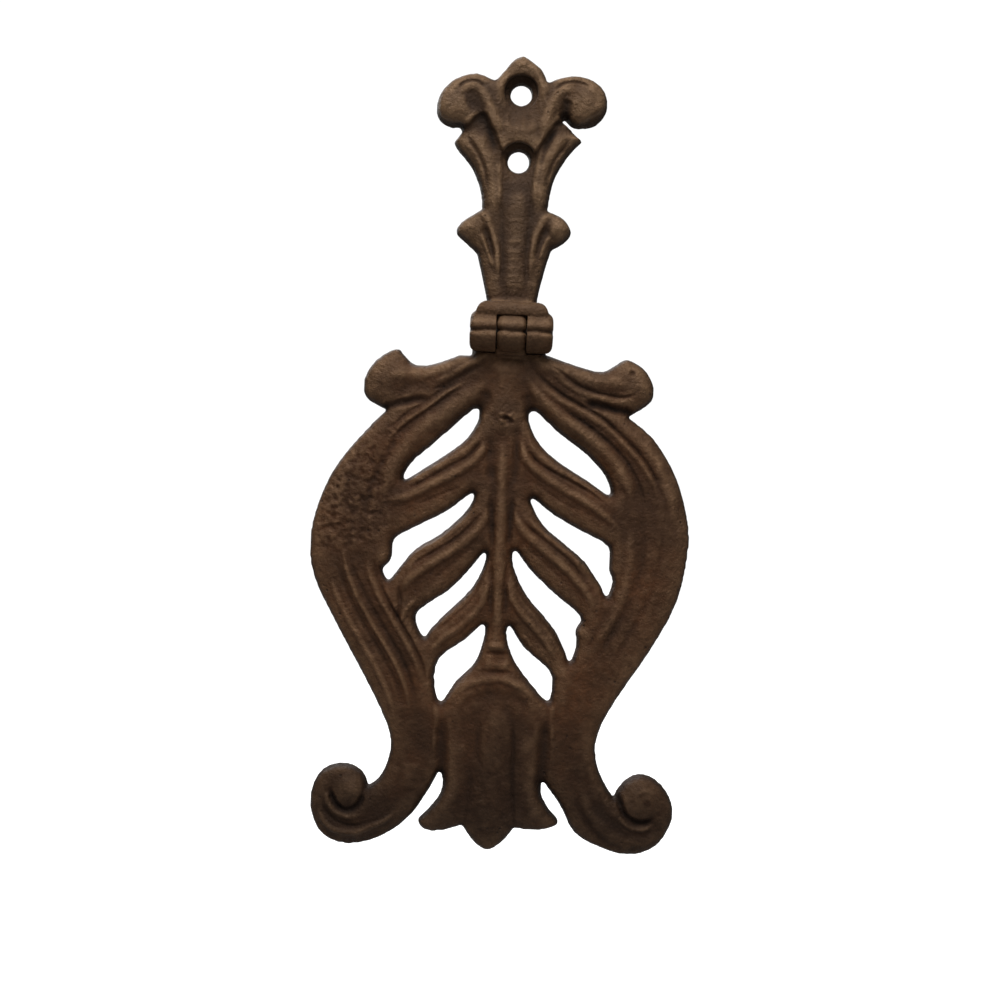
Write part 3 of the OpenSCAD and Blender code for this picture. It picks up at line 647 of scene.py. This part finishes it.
STEM = [
    ([(-1.2, -91), (-1.2, -97), (-1, -108), (-0.8, -130), (-0.7, -155)], 2.4, 0.9),
    ([(-0.6, -68), (-0.8, -76), (-0.9, -84), (-1, -94)], 6.0, 0.7),
    ([(-6.2, -79), (-7.6, -83), (-8.8, -87)], 3.0, -0.5),
    ([(5.2, -79), (5.9, -82.6), (6.6, -86), (7, -89)], 2.6, -0.7),
    ([(-5.8, -92), (-5, -98), (-4.2, -107)], 2.2, -0.5),
    ([(3.2, -89), (3, -97), (2.6, -107)], 1.8, -0.55),
    ([(-4.4, -110), (-3.6, -118), (-3, -127)], 1.4, -0.6),
    ([(2.6, -110), (2, -118), (1.6, -126)], 1.3, -0.6),
    ([(-3.4, -129), (-2.9, -140), (-2.6, -148)], 1.2, -0.4),
    ([(1.8, -129), (1.4, -140), (1.1, -148)], 1.2, -0.4),
]
TULIP = [
    ([(-3.4, -155), (2.8, -155)], 1.6, 1.0),
    ([(-4.6, -157.4), (-0.8, -157), (3.8, -157.4)], 0.9, -0.45),
    ([(-4.6, -160.6), (4.2, -160.6)], 2.2, 0.4),
    ([(-7, -163), (-3, -162.6), (2, -162.6), (6.4, -163)], 0.9, -0.25),
    ([(-16, -174), (-13, -169.8), (-8.8, -166.5), (-3, -164.9), (2, -164.8), (7.4, -166.7),
      (11.8, -170), (15, -174)], 1.7, 0.6),
    ([(-11.8, -174), (-7.6, -171), (-2, -169.6), (2, -169.6), (7, -171), (11, -175)], 2.2, -0.25),
    ([(-6.6, -192), (-7, -200), (-8.2, -209)], 0.9, -0.25),
    ([(5, -174.6), (5.6, -184), (5.8, -196), (7, -209)], 0.8, -0.45),
    ([(-0.8, -170), (-0.8, -190), (-0.8, -213)], 6.4, 0.6),
    ([(-4.4, -177), (-5, -183), (-4.8, -188), (-3.2, -191)], 0.9, -0.3),
    ([(-11, -180), (-11.4, -192), (-13.4, -202), (-18.4, -207.8)], 4.4, 0.5),
    ([(10.4, -180), (10.4, -192), (12, -201), (16.4, -206.4)], 4.4, 0.5),
    ([(-16, -176), (-15.6, -186), (-15.2, -196), (-16.6, -203)], 2.8, -0.8),
    ([(14.9, -175), (14.6, -185), (14.1, -196), (15.4, -203)], 2.8, -0.8),
    ([(-18, -172), (-17.6, -179), (-18, -187)], 1.2, 0.35),
    ([(16.9, -171), (16.5, -177), (16.9, -184)], 1.2, 0.3),
]
FEET = [
    ([(-48.2, -198.4), (-47.8, -200.8), (-46.5, -203.6), (-44.1, -205.3), (-41.4, -205.1),
      (-39.1, -202.8), (-38.6, -199)], 1.3, -0.9),
    ([(-49.9, -199.4), (-48.4, -204.1), (-45.4, -206.8), (-41.8, -207.5), (-38.1, -206.2)],
     1.1, 0.5),
    ([(-50.9, -203), (-48.6, -206.8), (-45, -209.3), (-41, -210), (-36.6, -208.8)], 0.8, -0.4),
    ([(-52.4, -204.2), (-49.9, -208.8), (-46.6, -211.4), (-41.9, -212.1), (-38.7, -211.5),
      (-35.5, -210), (-31.5, -208), (-27.9, -204.6)], 1.2, 0.7),
    ([(-51, -210.8), (-46, -214), (-38.6, -214.2), (-30.6, -210.6)], 1.6, -0.4),
    ([(-24, -190), (-26, -199)], 4.0, 0.4),
    ([(37.4, -196), (37.8, -199), (38.6, -201.8), (40.3, -204.2), (43.5, -205.6), (46.4, -205.3),
      (48.6, -203.6)], 1.4, -1.0),
    ([(37, -203.4), (40.6, -207), (44.8, -207.8), (48.4, -206)], 1.0, 0.45),
    ([(42.4, -200.4), (43, -197.4), (45.8, -195.9), (48.6, -197.6)], 0.9, 0.3),
    ([(26, -194), (28.6, -202), (34, -208.6), (41, -211.6), (48, -210.8), (52.6, -206.6)],
     2.4, 0.4),
    ([(24, -198), (28, -206), (34, -212), (41, -214.4)], 1.4, -0.2),
    ([(31, -196), (33.4, -202.4), (38, -208)], 1.2, -0.15),
]
PITTED = [(-36, -90), (-44, -96), (-51, -106), (-55, -118), (-54, -129), (-46, -128),
          (-37, -124), (-34.6, -112), (-35, -100), (-30, -93)]


TULIP_BELL = [(-15.8, -175), (-12, -168.4), (-6, -164.6), (-0.6, -163.6), (5, -164.4),
              (11, -168), (14.8, -174), (14.8, -196), (20, -207), (8, -210), (-0.6, -217),
              (-9, -210), (-21, -209), (-15.8, -197)]
TULIP_HEART = [(0.6, -173.4), (3.4, -176.6), (4.4, -183), (2.8, -189.4), (0.2, -192.4),
               (-2.6, -189.4), (-3.8, -183), (-2.4, -176.6)]
SCAB = [(-2.8, -85.6), (1.8, -85.2), (2.2, -88.6), (-2.4, -89)]


def door_relief(nodes, pitch):
    rng = np.random.default_rng(SEED)
    face = Relief(nodes, pitch, face_t=5.4, edge_t=2.8, round_over=4.2)
    for points, width, height in (ARM_LEFT + ARM_RIGHT + LEAVES_LEFT + LEAVES_RIGHT + STEM
                                  + TULIP + FEET):
        face.ridge(points, width, height)
    face.boss(-37.4, -76.4, 7.6, 0.9)
    face.boss(37, -76, 7.2, 0.9)
    face.boss(36.3, -72.4, 1.1, -0.6)
    face.boss(44.6, -199.6, 7.0, 1.3)
    face.boss(45.9, -199.9, 1.6, -0.35)
    face.boss(-43.2, -199.6, 5.2, 1.2)
    face.boss(22.8, -129.3, 1.3, 0.5)
    face.level(TULIP_BELL, 0.6, 1.6)
    face.level(TULIP_HEART, 0.22, 0.5)
    for x, z, height in ((-2, -86.2, 0.5), (-0.6, -87.2, -0.6), (0.5, -86.4, 0.6),
                         (-1.4, -88.2, 0.5), (1.2, -88, -0.4)):
        face.boss(x, z, 0.9, height)
    face.crust(rng, PITTED, 0.19, 2.0)
    face.crust(rng, SCAB, 0.3, 0.8)
    face.crust(rng, [(-60, -60), (60, -60), (60, -220), (-60, -220)], 0.035)
    face.pits(rng, 110, PITTED, (0.35, 0.7), 0.12)
    face.pits(rng, 60, [(30, -112), (48, -112), (48, -150), (30, -165)], (0.4, 0.8), 0.08)
    face.skin(rng, 0.7, 0.045)
    face.skin(rng, 2.2, 0.06)
    return face


# ---------------------------------------------------------------- knuckles, bores and holes

def barrel_distance(w, z):
    """Distance from the axis of the pin."""
    return np.hypot(w + BARREL_Y, z - BARREL_Z)


def waver(x):
    """How far the barrel's mouldings stray from true as they run along it, in degrees."""
    return 1.7 * np.sin(0.55 * x + 0.8) + 1.1 * np.sin(1.3 * x + 2)


def sandy(x, z):
    """The rough skin of the mould, between -1 and 1."""
    coarse = np.sin(2.9 * x + 2.1 * np.sin(1.3 * z)) * np.sin(3.1 * z + 1.8 * np.sin(1.9 * x))
    fine = np.sin(5.7 * x + 3 * z + 2 * np.sin(2.3 * x)) * np.sin(6.1 * z - 2.2 * x)
    return 0.5 * (coarse + fine)


def reeded_bar(x, w, z, outer, inner):
    """A length of the barrel between two ends, with a groove along its front.
    Its outer end is rounded like a bead, its inner end is cut square."""
    rise = np.degrees(np.arctan2(z - BARREL_Z, w + BARREL_Y)) + waver(x)
    groove = np.exp(-(((rise + 1.5) / 7.5) ** 2))
    upper = np.exp(-(((rise - 19) / 11) ** 2))
    bar = barrel_distance(w, z) - BARREL_R + 0.22 + 0.9 * groove - 0.12 * upper
    bar = bar + 0.07 * sandy(x, z)
    return smooth_max(smooth_max(bar, outer + 0.7 * groove, 2.6), inner, 0.12)


def shoulder(x, z):
    """The sloping ends of the moulding: negative between them."""
    return (np.abs(x) - 8.6 - 0.8 * np.maximum(BEAD_Z + BEAD_R - z, 0)) / 1.28


def overhanging_bead(x, w, z):
    """The moulding above the barrel, its shoulders sloping out to the barrel's full width."""
    bead = np.hypot(w - BEAD_W + 0.2, z - BEAD_Z - 0.02 * waver(x)) - BEAD_R + 0.3
    bead = bead + 0.12 * sandy(x, z)
    return smooth_max(smooth_max(bead, shoulder(x, z), 1.2), np.abs(x) - BEAD_HALF - 0.2, 1.6)


def web(w, z, ends, z0, z1):
    """The block between a knuckle and its plate."""
    across = np.abs(z - (z0 + z1) / 2) - (z1 - z0) / 2
    return smooth_max(np.maximum(across, w - BARREL_R), smooth_max(ends, -w, 0.3), 0.6)


def screw_hole(x, w, z, at_z):
    """A hole with a round recess for a countersunk head."""
    floor = HEAD_T - RECESS_DEPTH
    grow = np.clip((w - (floor - CONE_DEPTH)) / CONE_DEPTH, 0, 1)
    return np.hypot(x, z - at_z) - (SCREW_R + (RECESS_R - SCREW_R) * grow)


def frame_extra(x, w, z, f):
    f = smooth_max(f, np.where(z < BEAD_Z + BEAD_R + 1, shoulder(x, z), -9), 0.6)
    for s in (-1, 1):
        inner = OUTER_START - s * x
        bar = reeded_bar(x, w, z, s * x - BARREL_HALF, inner)
        block = web(w, z, np.maximum(inner, s * x - WEB_HALF), BARREL_Z, -54.6)
        f = smooth_min(f, smooth_min(bar, block, 0.8), 0.8)
    f = smooth_min(f, overhanging_bead(x, w, z), 0.7)
    ring = np.maximum(np.abs(x) - OUTER_START, barrel_distance(w, z)
                      - BARREL_R - ROTATION_CLEARANCE)
    f = smooth_max(f, -ring, 0.12)
    f = np.maximum(f, PIN_R - barrel_distance(w, z))
    for at_z in (SCREW_Z, -SCREW_Z):
        f = smooth_max(f, -screw_hole(x, w, z, at_z), 0.6)
    return f


def door_extra(x, w, z, f):
    ends = np.abs(x) - CENTRE_HALF
    lip = np.maximum(np.maximum(np.abs(x) - WEB_HALF, np.abs(z + 66.6) - 2.6),
                     np.abs(w - 2.5) - 2.5)
    f = smooth_min(f, lip, 0.3)
    outer = np.maximum(-ends, barrel_distance(w, z) - BARREL_R - ROTATION_CLEARANCE)
    f = smooth_max(f, -outer, 0.15)
    bar = reeded_bar(x, w, z, ends, ends)
    bar = smooth_min(bar, web(w, z, ends, -68.4, BARREL_Z), 0.8)
    f = smooth_min(f, bar, 0.8)
    f = smooth_max(f, -np.maximum(-ends, barrel_distance(w, z) - BARREL_R), 0.1)
    f = np.maximum(f, PIN_R + PIN_CLEARANCE - barrel_distance(w, z))
    for mount in frame["record"]["mounts"]:
        if mount["kind"] == "threaded_hole":
            at_x, at_z = mount["pos_m"][0] / MM, mount["pos_m"][2] / MM
            hole = np.maximum(np.hypot(x - at_x, z - at_z) - TAPPED_R, w - TAPPED_DEPTH)
            f = np.maximum(f, -hole)
    return f


def hinge_pin():
    """The pin, with a low peened head at each end."""
    profile = [(0, 0.34), (1.2, 0.3), (2.1, 0.12), (PIN_R - 0.02, -0.16), (PIN_R - 0.02, -0.9)]
    end = [(BARREL_HALF - 0.35 + rise, r) for r, rise in profile]
    outline = [(-a, r) for a, r in end] + end[::-1]
    turns = 64
    points, faces = [], []
    for a, r in outline:
        if r == 0:
            points.append((a, BARREL_Y, BARREL_Z))
            continue
        for k in range(turns):
            t = 2 * math.pi * k / turns
            points.append((a, BARREL_Y + r * math.cos(t), BARREL_Z + r * math.sin(t)))
    rings = len(outline) - 2
    last = len(points) - 1
    for k in range(turns):
        n = (k + 1) % turns
        faces.append((0, 1 + k, 1 + n))
        faces.append((last, last - turns + n, last - turns + k))
        for i in range(rings - 1):
            a, b = 1 + i * turns, 1 + (i + 1) * turns
            faces.append((a + k, b + k, b + n, a + n))
    obj = new_object("hinge_pin_turned", [tuple(c * MM for c in p) for p in points], faces)
    shade_smooth(obj)
    return obj


# ---------------------------------------------------------------- finishes

def new_group(name, inputs, outputs):
    group = bpy.data.node_groups.new(name, "ShaderNodeTree")
    for label, kind, value in inputs:
        socket = group.interface.new_socket(label, in_out="INPUT", socket_type=kind)
        socket.default_value = value
    for label, kind in outputs:
        group.interface.new_socket(label, in_out="OUTPUT", socket_type=kind)
    return group, group.nodes.new("NodeGroupInput"), group.nodes.new("NodeGroupOutput")


def add(tree, kind, **settings):
    node = tree.nodes.new(kind)
    for key, value in settings.items():
        setattr(node, key, value)
    return node


def math_node(tree, operation, a, b=None, clamp=False):
    node = add(tree, "ShaderNodeMath", operation=operation, use_clamp=clamp)
    for socket, value in zip(node.inputs, (a, b)):
        if value is None:
            continue
        if isinstance(value, (int, float)):
            socket.default_value = value
        else:
            tree.links.new(value, socket)
    return node.outputs[0]


def noise(tree, vector, scale, detail=3.0, roughness=0.55):
    node = add(tree, "ShaderNodeTexNoise")
    tree.links.new(vector, node.inputs["Vector"])
    for label, value in (("Scale", scale), ("Detail", detail), ("Roughness", roughness)):
        if isinstance(value, (int, float)):
            node.inputs[label].default_value = value
        else:
            tree.links.new(value, node.inputs[label])
    return node.outputs["Fac"]


def mix_colour(tree, factor, a, b):
    node = add(tree, "ShaderNodeMix", data_type="RGBA")
    for index, value in ((0, factor), (6, a), (7, b)):
        if hasattr(value, "is_linked"):
            tree.links.new(value, node.inputs[index])
        else:
            node.inputs[index].default_value = value
    return node.outputs[2]


def ramp(tree, value, low, high):
    node = add(tree, "ShaderNodeMapRange", clamp=True)
    tree.links.new(value, node.inputs["Value"])
    node.inputs["From Min"].default_value = low
    node.inputs["From Max"].default_value = high
    return node.outputs["Result"]


def cast_skin_group():
    """Fine sand grain and scattered pinholes."""
    group, start, end = new_group(
        "cast_skin",
        [("Vector", "NodeSocketVector", (0, 0, 0)), ("Grain Scale", "NodeSocketFloat", 1100.0),
         ("Pinhole Scale", "NodeSocketFloat", 420.0)],
        [("Height", "NodeSocketFloat"), ("Pinholes", "NodeSocketFloat")])
    vector = start.outputs["Vector"]
    fine = noise(group, vector, start.outputs["Grain Scale"], 4.0, 0.6)
    wide = noise(group, vector, 230.0, 3.0, 0.5)
    cells = add(group, "ShaderNodeTexVoronoi")
    group.links.new(vector, cells.inputs["Vector"])
    group.links.new(start.outputs["Pinhole Scale"], cells.inputs["Scale"])
    holes = ramp(group, cells.outputs["Distance"], 0.22, 0.06)
    chosen = ramp(group, noise(group, vector, 160.0, 2.0), 0.54, 0.66)
    holes = math_node(group, "MULTIPLY", holes, chosen)
    height = math_node(group, "ADD", math_node(group, "MULTIPLY", fine, 0.8),
                       math_node(group, "MULTIPLY", wide, 0.6))
    height = math_node(group, "SUBTRACT", height, math_node(group, "MULTIPLY", holes, 0.5))
    group.links.new(height, end.inputs["Height"])
    group.links.new(holes, end.inputs["Pinholes"])
    return group


def patina_and_painted_light_group():
    """Brown patina with painted light: darker in the hollows (patina and painted shade),
    lighter where it stands proud (wear and painted highlight).
    """
    # The darkest colour serves patina and painted shade, the lightest serves wear and painted
    # highlight.
    colours = [("PatinaAndShadeColour", (0.008, 0.0045, 0.003, 1)), ("Body", (0.030, 0.015, 0.008, 1)),
               ("Warm", (0.060, 0.030, 0.013, 1)), ("WornAndHighlightColour", (0.12, 0.072, 0.040, 1))]
    group, start, end = new_group(
        "brown_patina_and_painted_light",
        [("Vector", "NodeSocketVector", (0, 0, 0))]
        + [(label, "NodeSocketColor", value) for label, value in colours]
        + [("Proud", "NodeSocketFloat", 0.0), ("Hollow", "NodeSocketFloat", 0.0),
           ("Wear", "NodeSocketFloat", 0.8)],
        [("Colour", "NodeSocketColor"), ("Wear", "NodeSocketFloat"),
         ("PatinaAndShadeMix", "NodeSocketFloat")])
    vector = start.outputs["Vector"]
    blotch = ramp(group, noise(group, vector, 55.0, 4.0, 0.6), 0.38, 0.66)
    speckle = ramp(group, noise(group, vector, 620.0, 3.0, 0.6), 0.4, 0.7)
    warm = math_node(group, "MULTIPLY", blotch, math_node(
        group, "ADD", 0.45, math_node(group, "MULTIPLY", speckle, 0.55)), clamp=True)
    colour = mix_colour(group, warm, start.outputs["Body"], start.outputs["Warm"])
    uneven = ramp(group, noise(group, vector, 260.0, 4.0, 0.65), 0.3, 0.72)
    # Toward the lightest colour: wear on what stands proud, and painted highlight.
    wear_and_highlight = math_node(group, "MULTIPLY", start.outputs["Proud"], math_node(
        group, "ADD", 0.35, math_node(group, "MULTIPLY", uneven, 0.9)))
    wear_and_highlight = math_node(group, "MULTIPLY", wear_and_highlight, start.outputs["Wear"], clamp=True)
    colour = mix_colour(group, wear_and_highlight, colour, start.outputs["WornAndHighlightColour"])
    # Toward the darkest colour: patina in the hollows, and painted shade in grooves and on side
    # walls.
    patina_and_shade_mix = math_node(group, "MULTIPLY", start.outputs["Hollow"], math_node(
        group, "ADD", 0.7, math_node(group, "MULTIPLY", uneven, 0.4)), clamp=True)
    colour = mix_colour(group, patina_and_shade_mix, colour, start.outputs["PatinaAndShadeColour"])
    group.links.new(colour, end.inputs["Colour"])
    group.links.new(wear_and_highlight, end.inputs["Wear"])
    group.links.new(patina_and_shade_mix, end.inputs["PatinaAndShadeMix"])
    return group


def use_group(tree, group, **values):
    node = add(tree, "ShaderNodeGroup", node_tree=group)
    for label, value in values.items():
        socket = node.inputs[label.replace("_", " ")]
        if hasattr(value, "is_linked"):
            tree.links.new(value, socket)
        else:
            socket.default_value = value
    return node


def new_material(name):
    material = bpy.data.materials.new(name)
    material.use_nodes = True
    return material, material.node_tree, material.node_tree.nodes["Principled BSDF"]


def roughen(tree, shader, height, distance_m):
    """Puts a height on the surface as a bump."""
    relief = add(tree, "ShaderNodeBump")
    relief.inputs["Strength"].default_value = 1.0
    relief.inputs["Distance"].default_value = distance_m
    tree.links.new(height, relief.inputs["Height"])
    tree.links.new(relief.outputs["Normal"], shader.inputs["Normal"])


def iron(name, skin, patina, wear_and_highlight):
    """Cast iron with a waxed brown patina: greyer towards the crest and redder on the arms, its
    colours darkened at the feet as painted shade."""
    heights = (        # label, at the crest, on the arms, at the feet
        ("Body", (0.039, 0.0205, 0.0105, 1), (0.045, 0.0202, 0.0088, 1),
         (0.021, 0.0100, 0.0048, 1)),
        ("Warm", (0.066, 0.034, 0.015, 1), (0.084, 0.0325, 0.0122, 1),
         (0.034, 0.0150, 0.0065, 1)),
        ("WornAndHighlightColour", (0.165, 0.098, 0.052, 1), (0.160, 0.088, 0.045, 1),
         (0.080, 0.045, 0.024, 1)))
    material, tree, shader = new_material(name)
    place = add(tree, "ShaderNodeTexCoord").outputs["Object"]
    parts = add(tree, "ShaderNodeSeparateXYZ")
    tree.links.new(place, parts.inputs[0])
    to_arms = ramp(tree, parts.outputs["Z"], -0.03, -0.10)
    # Painted shade: every colour turns about half as dark towards the feet.
    painted_shade_to_feet = ramp(tree, parts.outputs["Z"], -0.172, -0.204)
    colours = {
        label: mix_colour(tree, painted_shade_to_feet, mix_colour(tree, to_arms, crest, arms), feet)
        for label, crest, arms, feet in heights}
    # One attribute lightens with wear and painted highlight, the other darkens with patina and
    # painted shade.
    proud = add(tree, "ShaderNodeAttribute", attribute_name="wear_and_highlight_mask").outputs["Fac"]
    patina_and_shade = add(tree, "ShaderNodeAttribute", attribute_name="patina_and_shade").outputs["Fac"]
    coat = use_group(tree, patina, Vector=place, Proud=proud, Hollow=patina_and_shade, Wear=wear_and_highlight,
                     **colours)
    grain = use_group(tree, skin, Vector=place)
    dark = mix_colour(tree, math_node(tree, "MULTIPLY", grain.outputs["Pinholes"], 0.6),
                      coat.outputs["Colour"], (0.008, 0.005, 0.004, 1))
    tree.links.new(dark, shader.inputs["Base Color"])
    rough = math_node(tree, "ADD", 0.50, math_node(
        tree, "MULTIPLY", noise(tree, place, 340.0, 3.0), 0.16))
    rough = math_node(tree, "SUBTRACT", rough, math_node(
        tree, "MULTIPLY", coat.outputs["Wear"], 0.14))
    rough = math_node(tree, "ADD", rough, math_node(
        tree, "MULTIPLY", coat.outputs["PatinaAndShadeMix"], 0.2), clamp=True)
    tree.links.new(rough, shader.inputs["Roughness"])
    shader.inputs["Metallic"].default_value = 0.2
    shader.inputs["Specular IOR Level"].default_value = 0.15
    roughen(tree, shader, grain.outputs["Height"], BUMP_M)
    return material


def pin_steel(skin):
    """Darkened steel, turned, and hammered at the ends."""
    material, tree, shader = new_material("pin_steel_darkened")
    place = add(tree, "ShaderNodeTexCoord").outputs["Object"]
    blotch = ramp(tree, noise(tree, place, 420.0, 4.0, 0.6), 0.35, 0.7)
    colour = mix_colour(tree, blotch, (0.03, 0.019, 0.013, 1), (0.075, 0.052, 0.038, 1))
    tree.links.new(colour, shader.inputs["Base Color"])
    tree.links.new(math_node(tree, "ADD", 0.34, math_node(
        tree, "MULTIPLY", blotch, 0.2)), shader.inputs["Roughness"])
    shader.inputs["Metallic"].default_value = 0.4
    grain = use_group(tree, skin, Vector=place, Grain_Scale=1500.0)
    roughen(tree, shader, grain.outputs["Height"], 0.00006)
    return material


# ---------------------------------------------------------------- build the pieces

def body_nodes(body):
    """The names of the CAD members that ride on a body."""
    return [n for n, o in frame["nodes"].items() if o.get("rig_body") == body]


rng = np.random.default_rng(SEED + 1)
BARREL_NODES = {"knuckle_left", "knuckle_right", "knuckle_centre", "hinge_pin"}
frame_nodes = [n for n in body_nodes("frame_leaf") if n != "hinge_pin"]
door_nodes = body_nodes("door_leaf")
frame_pitch, door_pitch = ((0.24, 0.32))
FRAME_TRIANGLES, DOOR_TRIANGLES = 170000, 190000
KNUCKLE_ROOM = 15.0            # depth of grid beyond a plate for its knuckles

frame_face = frame_relief([n for n in frame_nodes if n not in BARREL_NODES], frame_pitch)
frame_face.skin(rng, 0.7, 0.04)
frame_face.skin(rng, 2.2, 0.05)
door_face = door_relief([n for n in door_nodes if n not in BARREL_NODES], door_pitch)


def extend(face, low=None, high=None):
    """Gives a relief's grid room for the knuckles beyond its plate."""
    for end, pad in (("low", low), ("high", high)):
        if pad is None:
            continue
        n = int(pad / face.pitch)
        extra = (face.pitch * np.arange(1, n + 1))
        if end == "low":
            face.z = np.concatenate([face.z[0] - extra[::-1], face.z])
            shape = ((0, 0), (n, 0))
        else:
            face.z = np.concatenate([face.z, face.z[-1] + extra])
            shape = ((0, 0), (0, n))
        face.side = np.pad(face.side, shape, constant_values=FAR)
        face.h = np.pad(face.h, shape, mode="edge")


extend(frame_face, low=KNUCKLE_ROOM)
extend(door_face, high=KNUCKLE_ROOM)

frame_leaf = casting("frame_leaf_casting", frame_face, frame_extra, FRAME_TRIANGLES)
door_leaf = casting("door_leaf_casting", door_face, door_extra, DOOR_TRIANGLES)
pin = hinge_pin()

skin = cast_skin_group()
patina = patina_and_painted_light_group()
frame_leaf.data.materials.append(iron("frame_leaf_iron", skin, patina, 0.85))
door_leaf.data.materials.append(iron("door_leaf_iron", skin, patina, 0.8))
pin.data.materials.append(pin_steel(skin))

for piece, body, nodes, slot in (
        (frame_leaf, "frame_leaf", frame_nodes, "frame_iron"),
        (door_leaf, "door_leaf", door_nodes, "door_iron"),
        (pin, "frame_leaf", ["hinge_pin"], "pin_steel")):
    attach(piece, body)
    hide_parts(*nodes)


# ---------------------------------------------------------------- floor, light and camera

def pale_floor():
    """A matt white floor that the camera sees as bright as the backdrop."""
    material, tree, shader = new_material("floor_pale")
    shader.inputs["Base Color"].default_value = (0.4, 0.4, 0.4, 1)
    shader.inputs["Roughness"].default_value = 0.9
    shader.inputs["Emission Color"].default_value = (1, 1, 1, 1)
    path = tree.nodes.new("ShaderNodeLightPath")
    tree.links.new(path.outputs["Is Camera Ray"], shader.inputs["Emission Strength"])
    return material


def floor(height_m):
    size = 4.0
    corners = [(-size, -size), (size, -size), (size, size), (-size, size)]
    obj = new_object("floor", [(x, y, height_m) for x, y in corners], [(0, 1, 2, 3)])
    obj.data.materials.append(pale_floor())


def area_light(name, place, target, size, energy):
    light = bpy.data.lights.new(name, "AREA")
    light.shape = "DISK"
    light.size = size
    light.energy = energy
    obj = bpy.data.objects.new(name, light)
    obj.location = place
    obj.rotation_euler = (Vector(target) - Vector(place)).to_track_quat("-Z", "Y").to_euler()
    bpy.context.scene.collection.objects.link(obj)


def camera():
    """A 48 mm lens some 400 mm in front of the face, rolled so that the crest leans to the right."""
    data = bpy.data.cameras.new("camera")
    data.lens = 48.0
    data.sensor_width = 36.0
    data.clip_start = 0.01
    obj = bpy.data.objects.new("camera", data)
    face_y = -0.004
    aim = Vector((-0.0013, face_y, -0.1115))
    obj.location = aim + Vector((0, -0.3975, 0))
    roll = math.radians(-2.4)
    obj.rotation_euler = (math.radians(90), roll, 0)
    bpy.context.scene.collection.objects.link(obj)
    bpy.context.scene.camera = obj


def world():
    scene = bpy.context.scene
    scene.world = bpy.data.worlds.new("studio")
    scene.world.use_nodes = True
    tree = scene.world.node_tree
    sky = tree.nodes["Background"]
    seen = tree.nodes.new("ShaderNodeBackground")
    seen.inputs["Strength"].default_value = 1.05
    seen.inputs["Color"].default_value = (1, 1, 1, 1)
    sky.inputs["Color"].default_value = (1, 1, 1, 1)
    way = tree.nodes.new("ShaderNodeTexCoord")
    parts = tree.nodes.new("ShaderNodeSeparateXYZ")
    tree.links.new(way.outputs["Generated"], parts.inputs[0])
    above = ramp(tree, parts.outputs["Z"], -0.5, 0.9)
    above.node.inputs["To Min"].default_value = 0.05
    above.node.inputs["To Max"].default_value = 0.3
    tree.links.new(above, sky.inputs["Strength"])
    path = tree.nodes.new("ShaderNodeLightPath")
    mix = tree.nodes.new("ShaderNodeMixShader")
    tree.links.new(path.outputs["Is Camera Ray"], mix.inputs[0])
    tree.links.new(sky.outputs[0], mix.inputs[1])
    tree.links.new(seen.outputs[0], mix.inputs[2])
    tree.links.new(mix.outputs[0], tree.nodes["World Output"].inputs[0])
    scene.view_settings.view_transform = "Standard"


low, high = cad_box
middle = (low + high) / 2
floor(low.z - 0.06)
area_light("key", (-0.06, -0.26, high.z + 0.3), middle, 0.34, 3.0)
area_light("fill", (0.3, -0.7, middle.z + 0.1), middle, 0.7, 0.7)
area_light("back", (-0.2, 0.6, middle.z + 0.4), middle, 0.7, 4.0)
camera()
world()
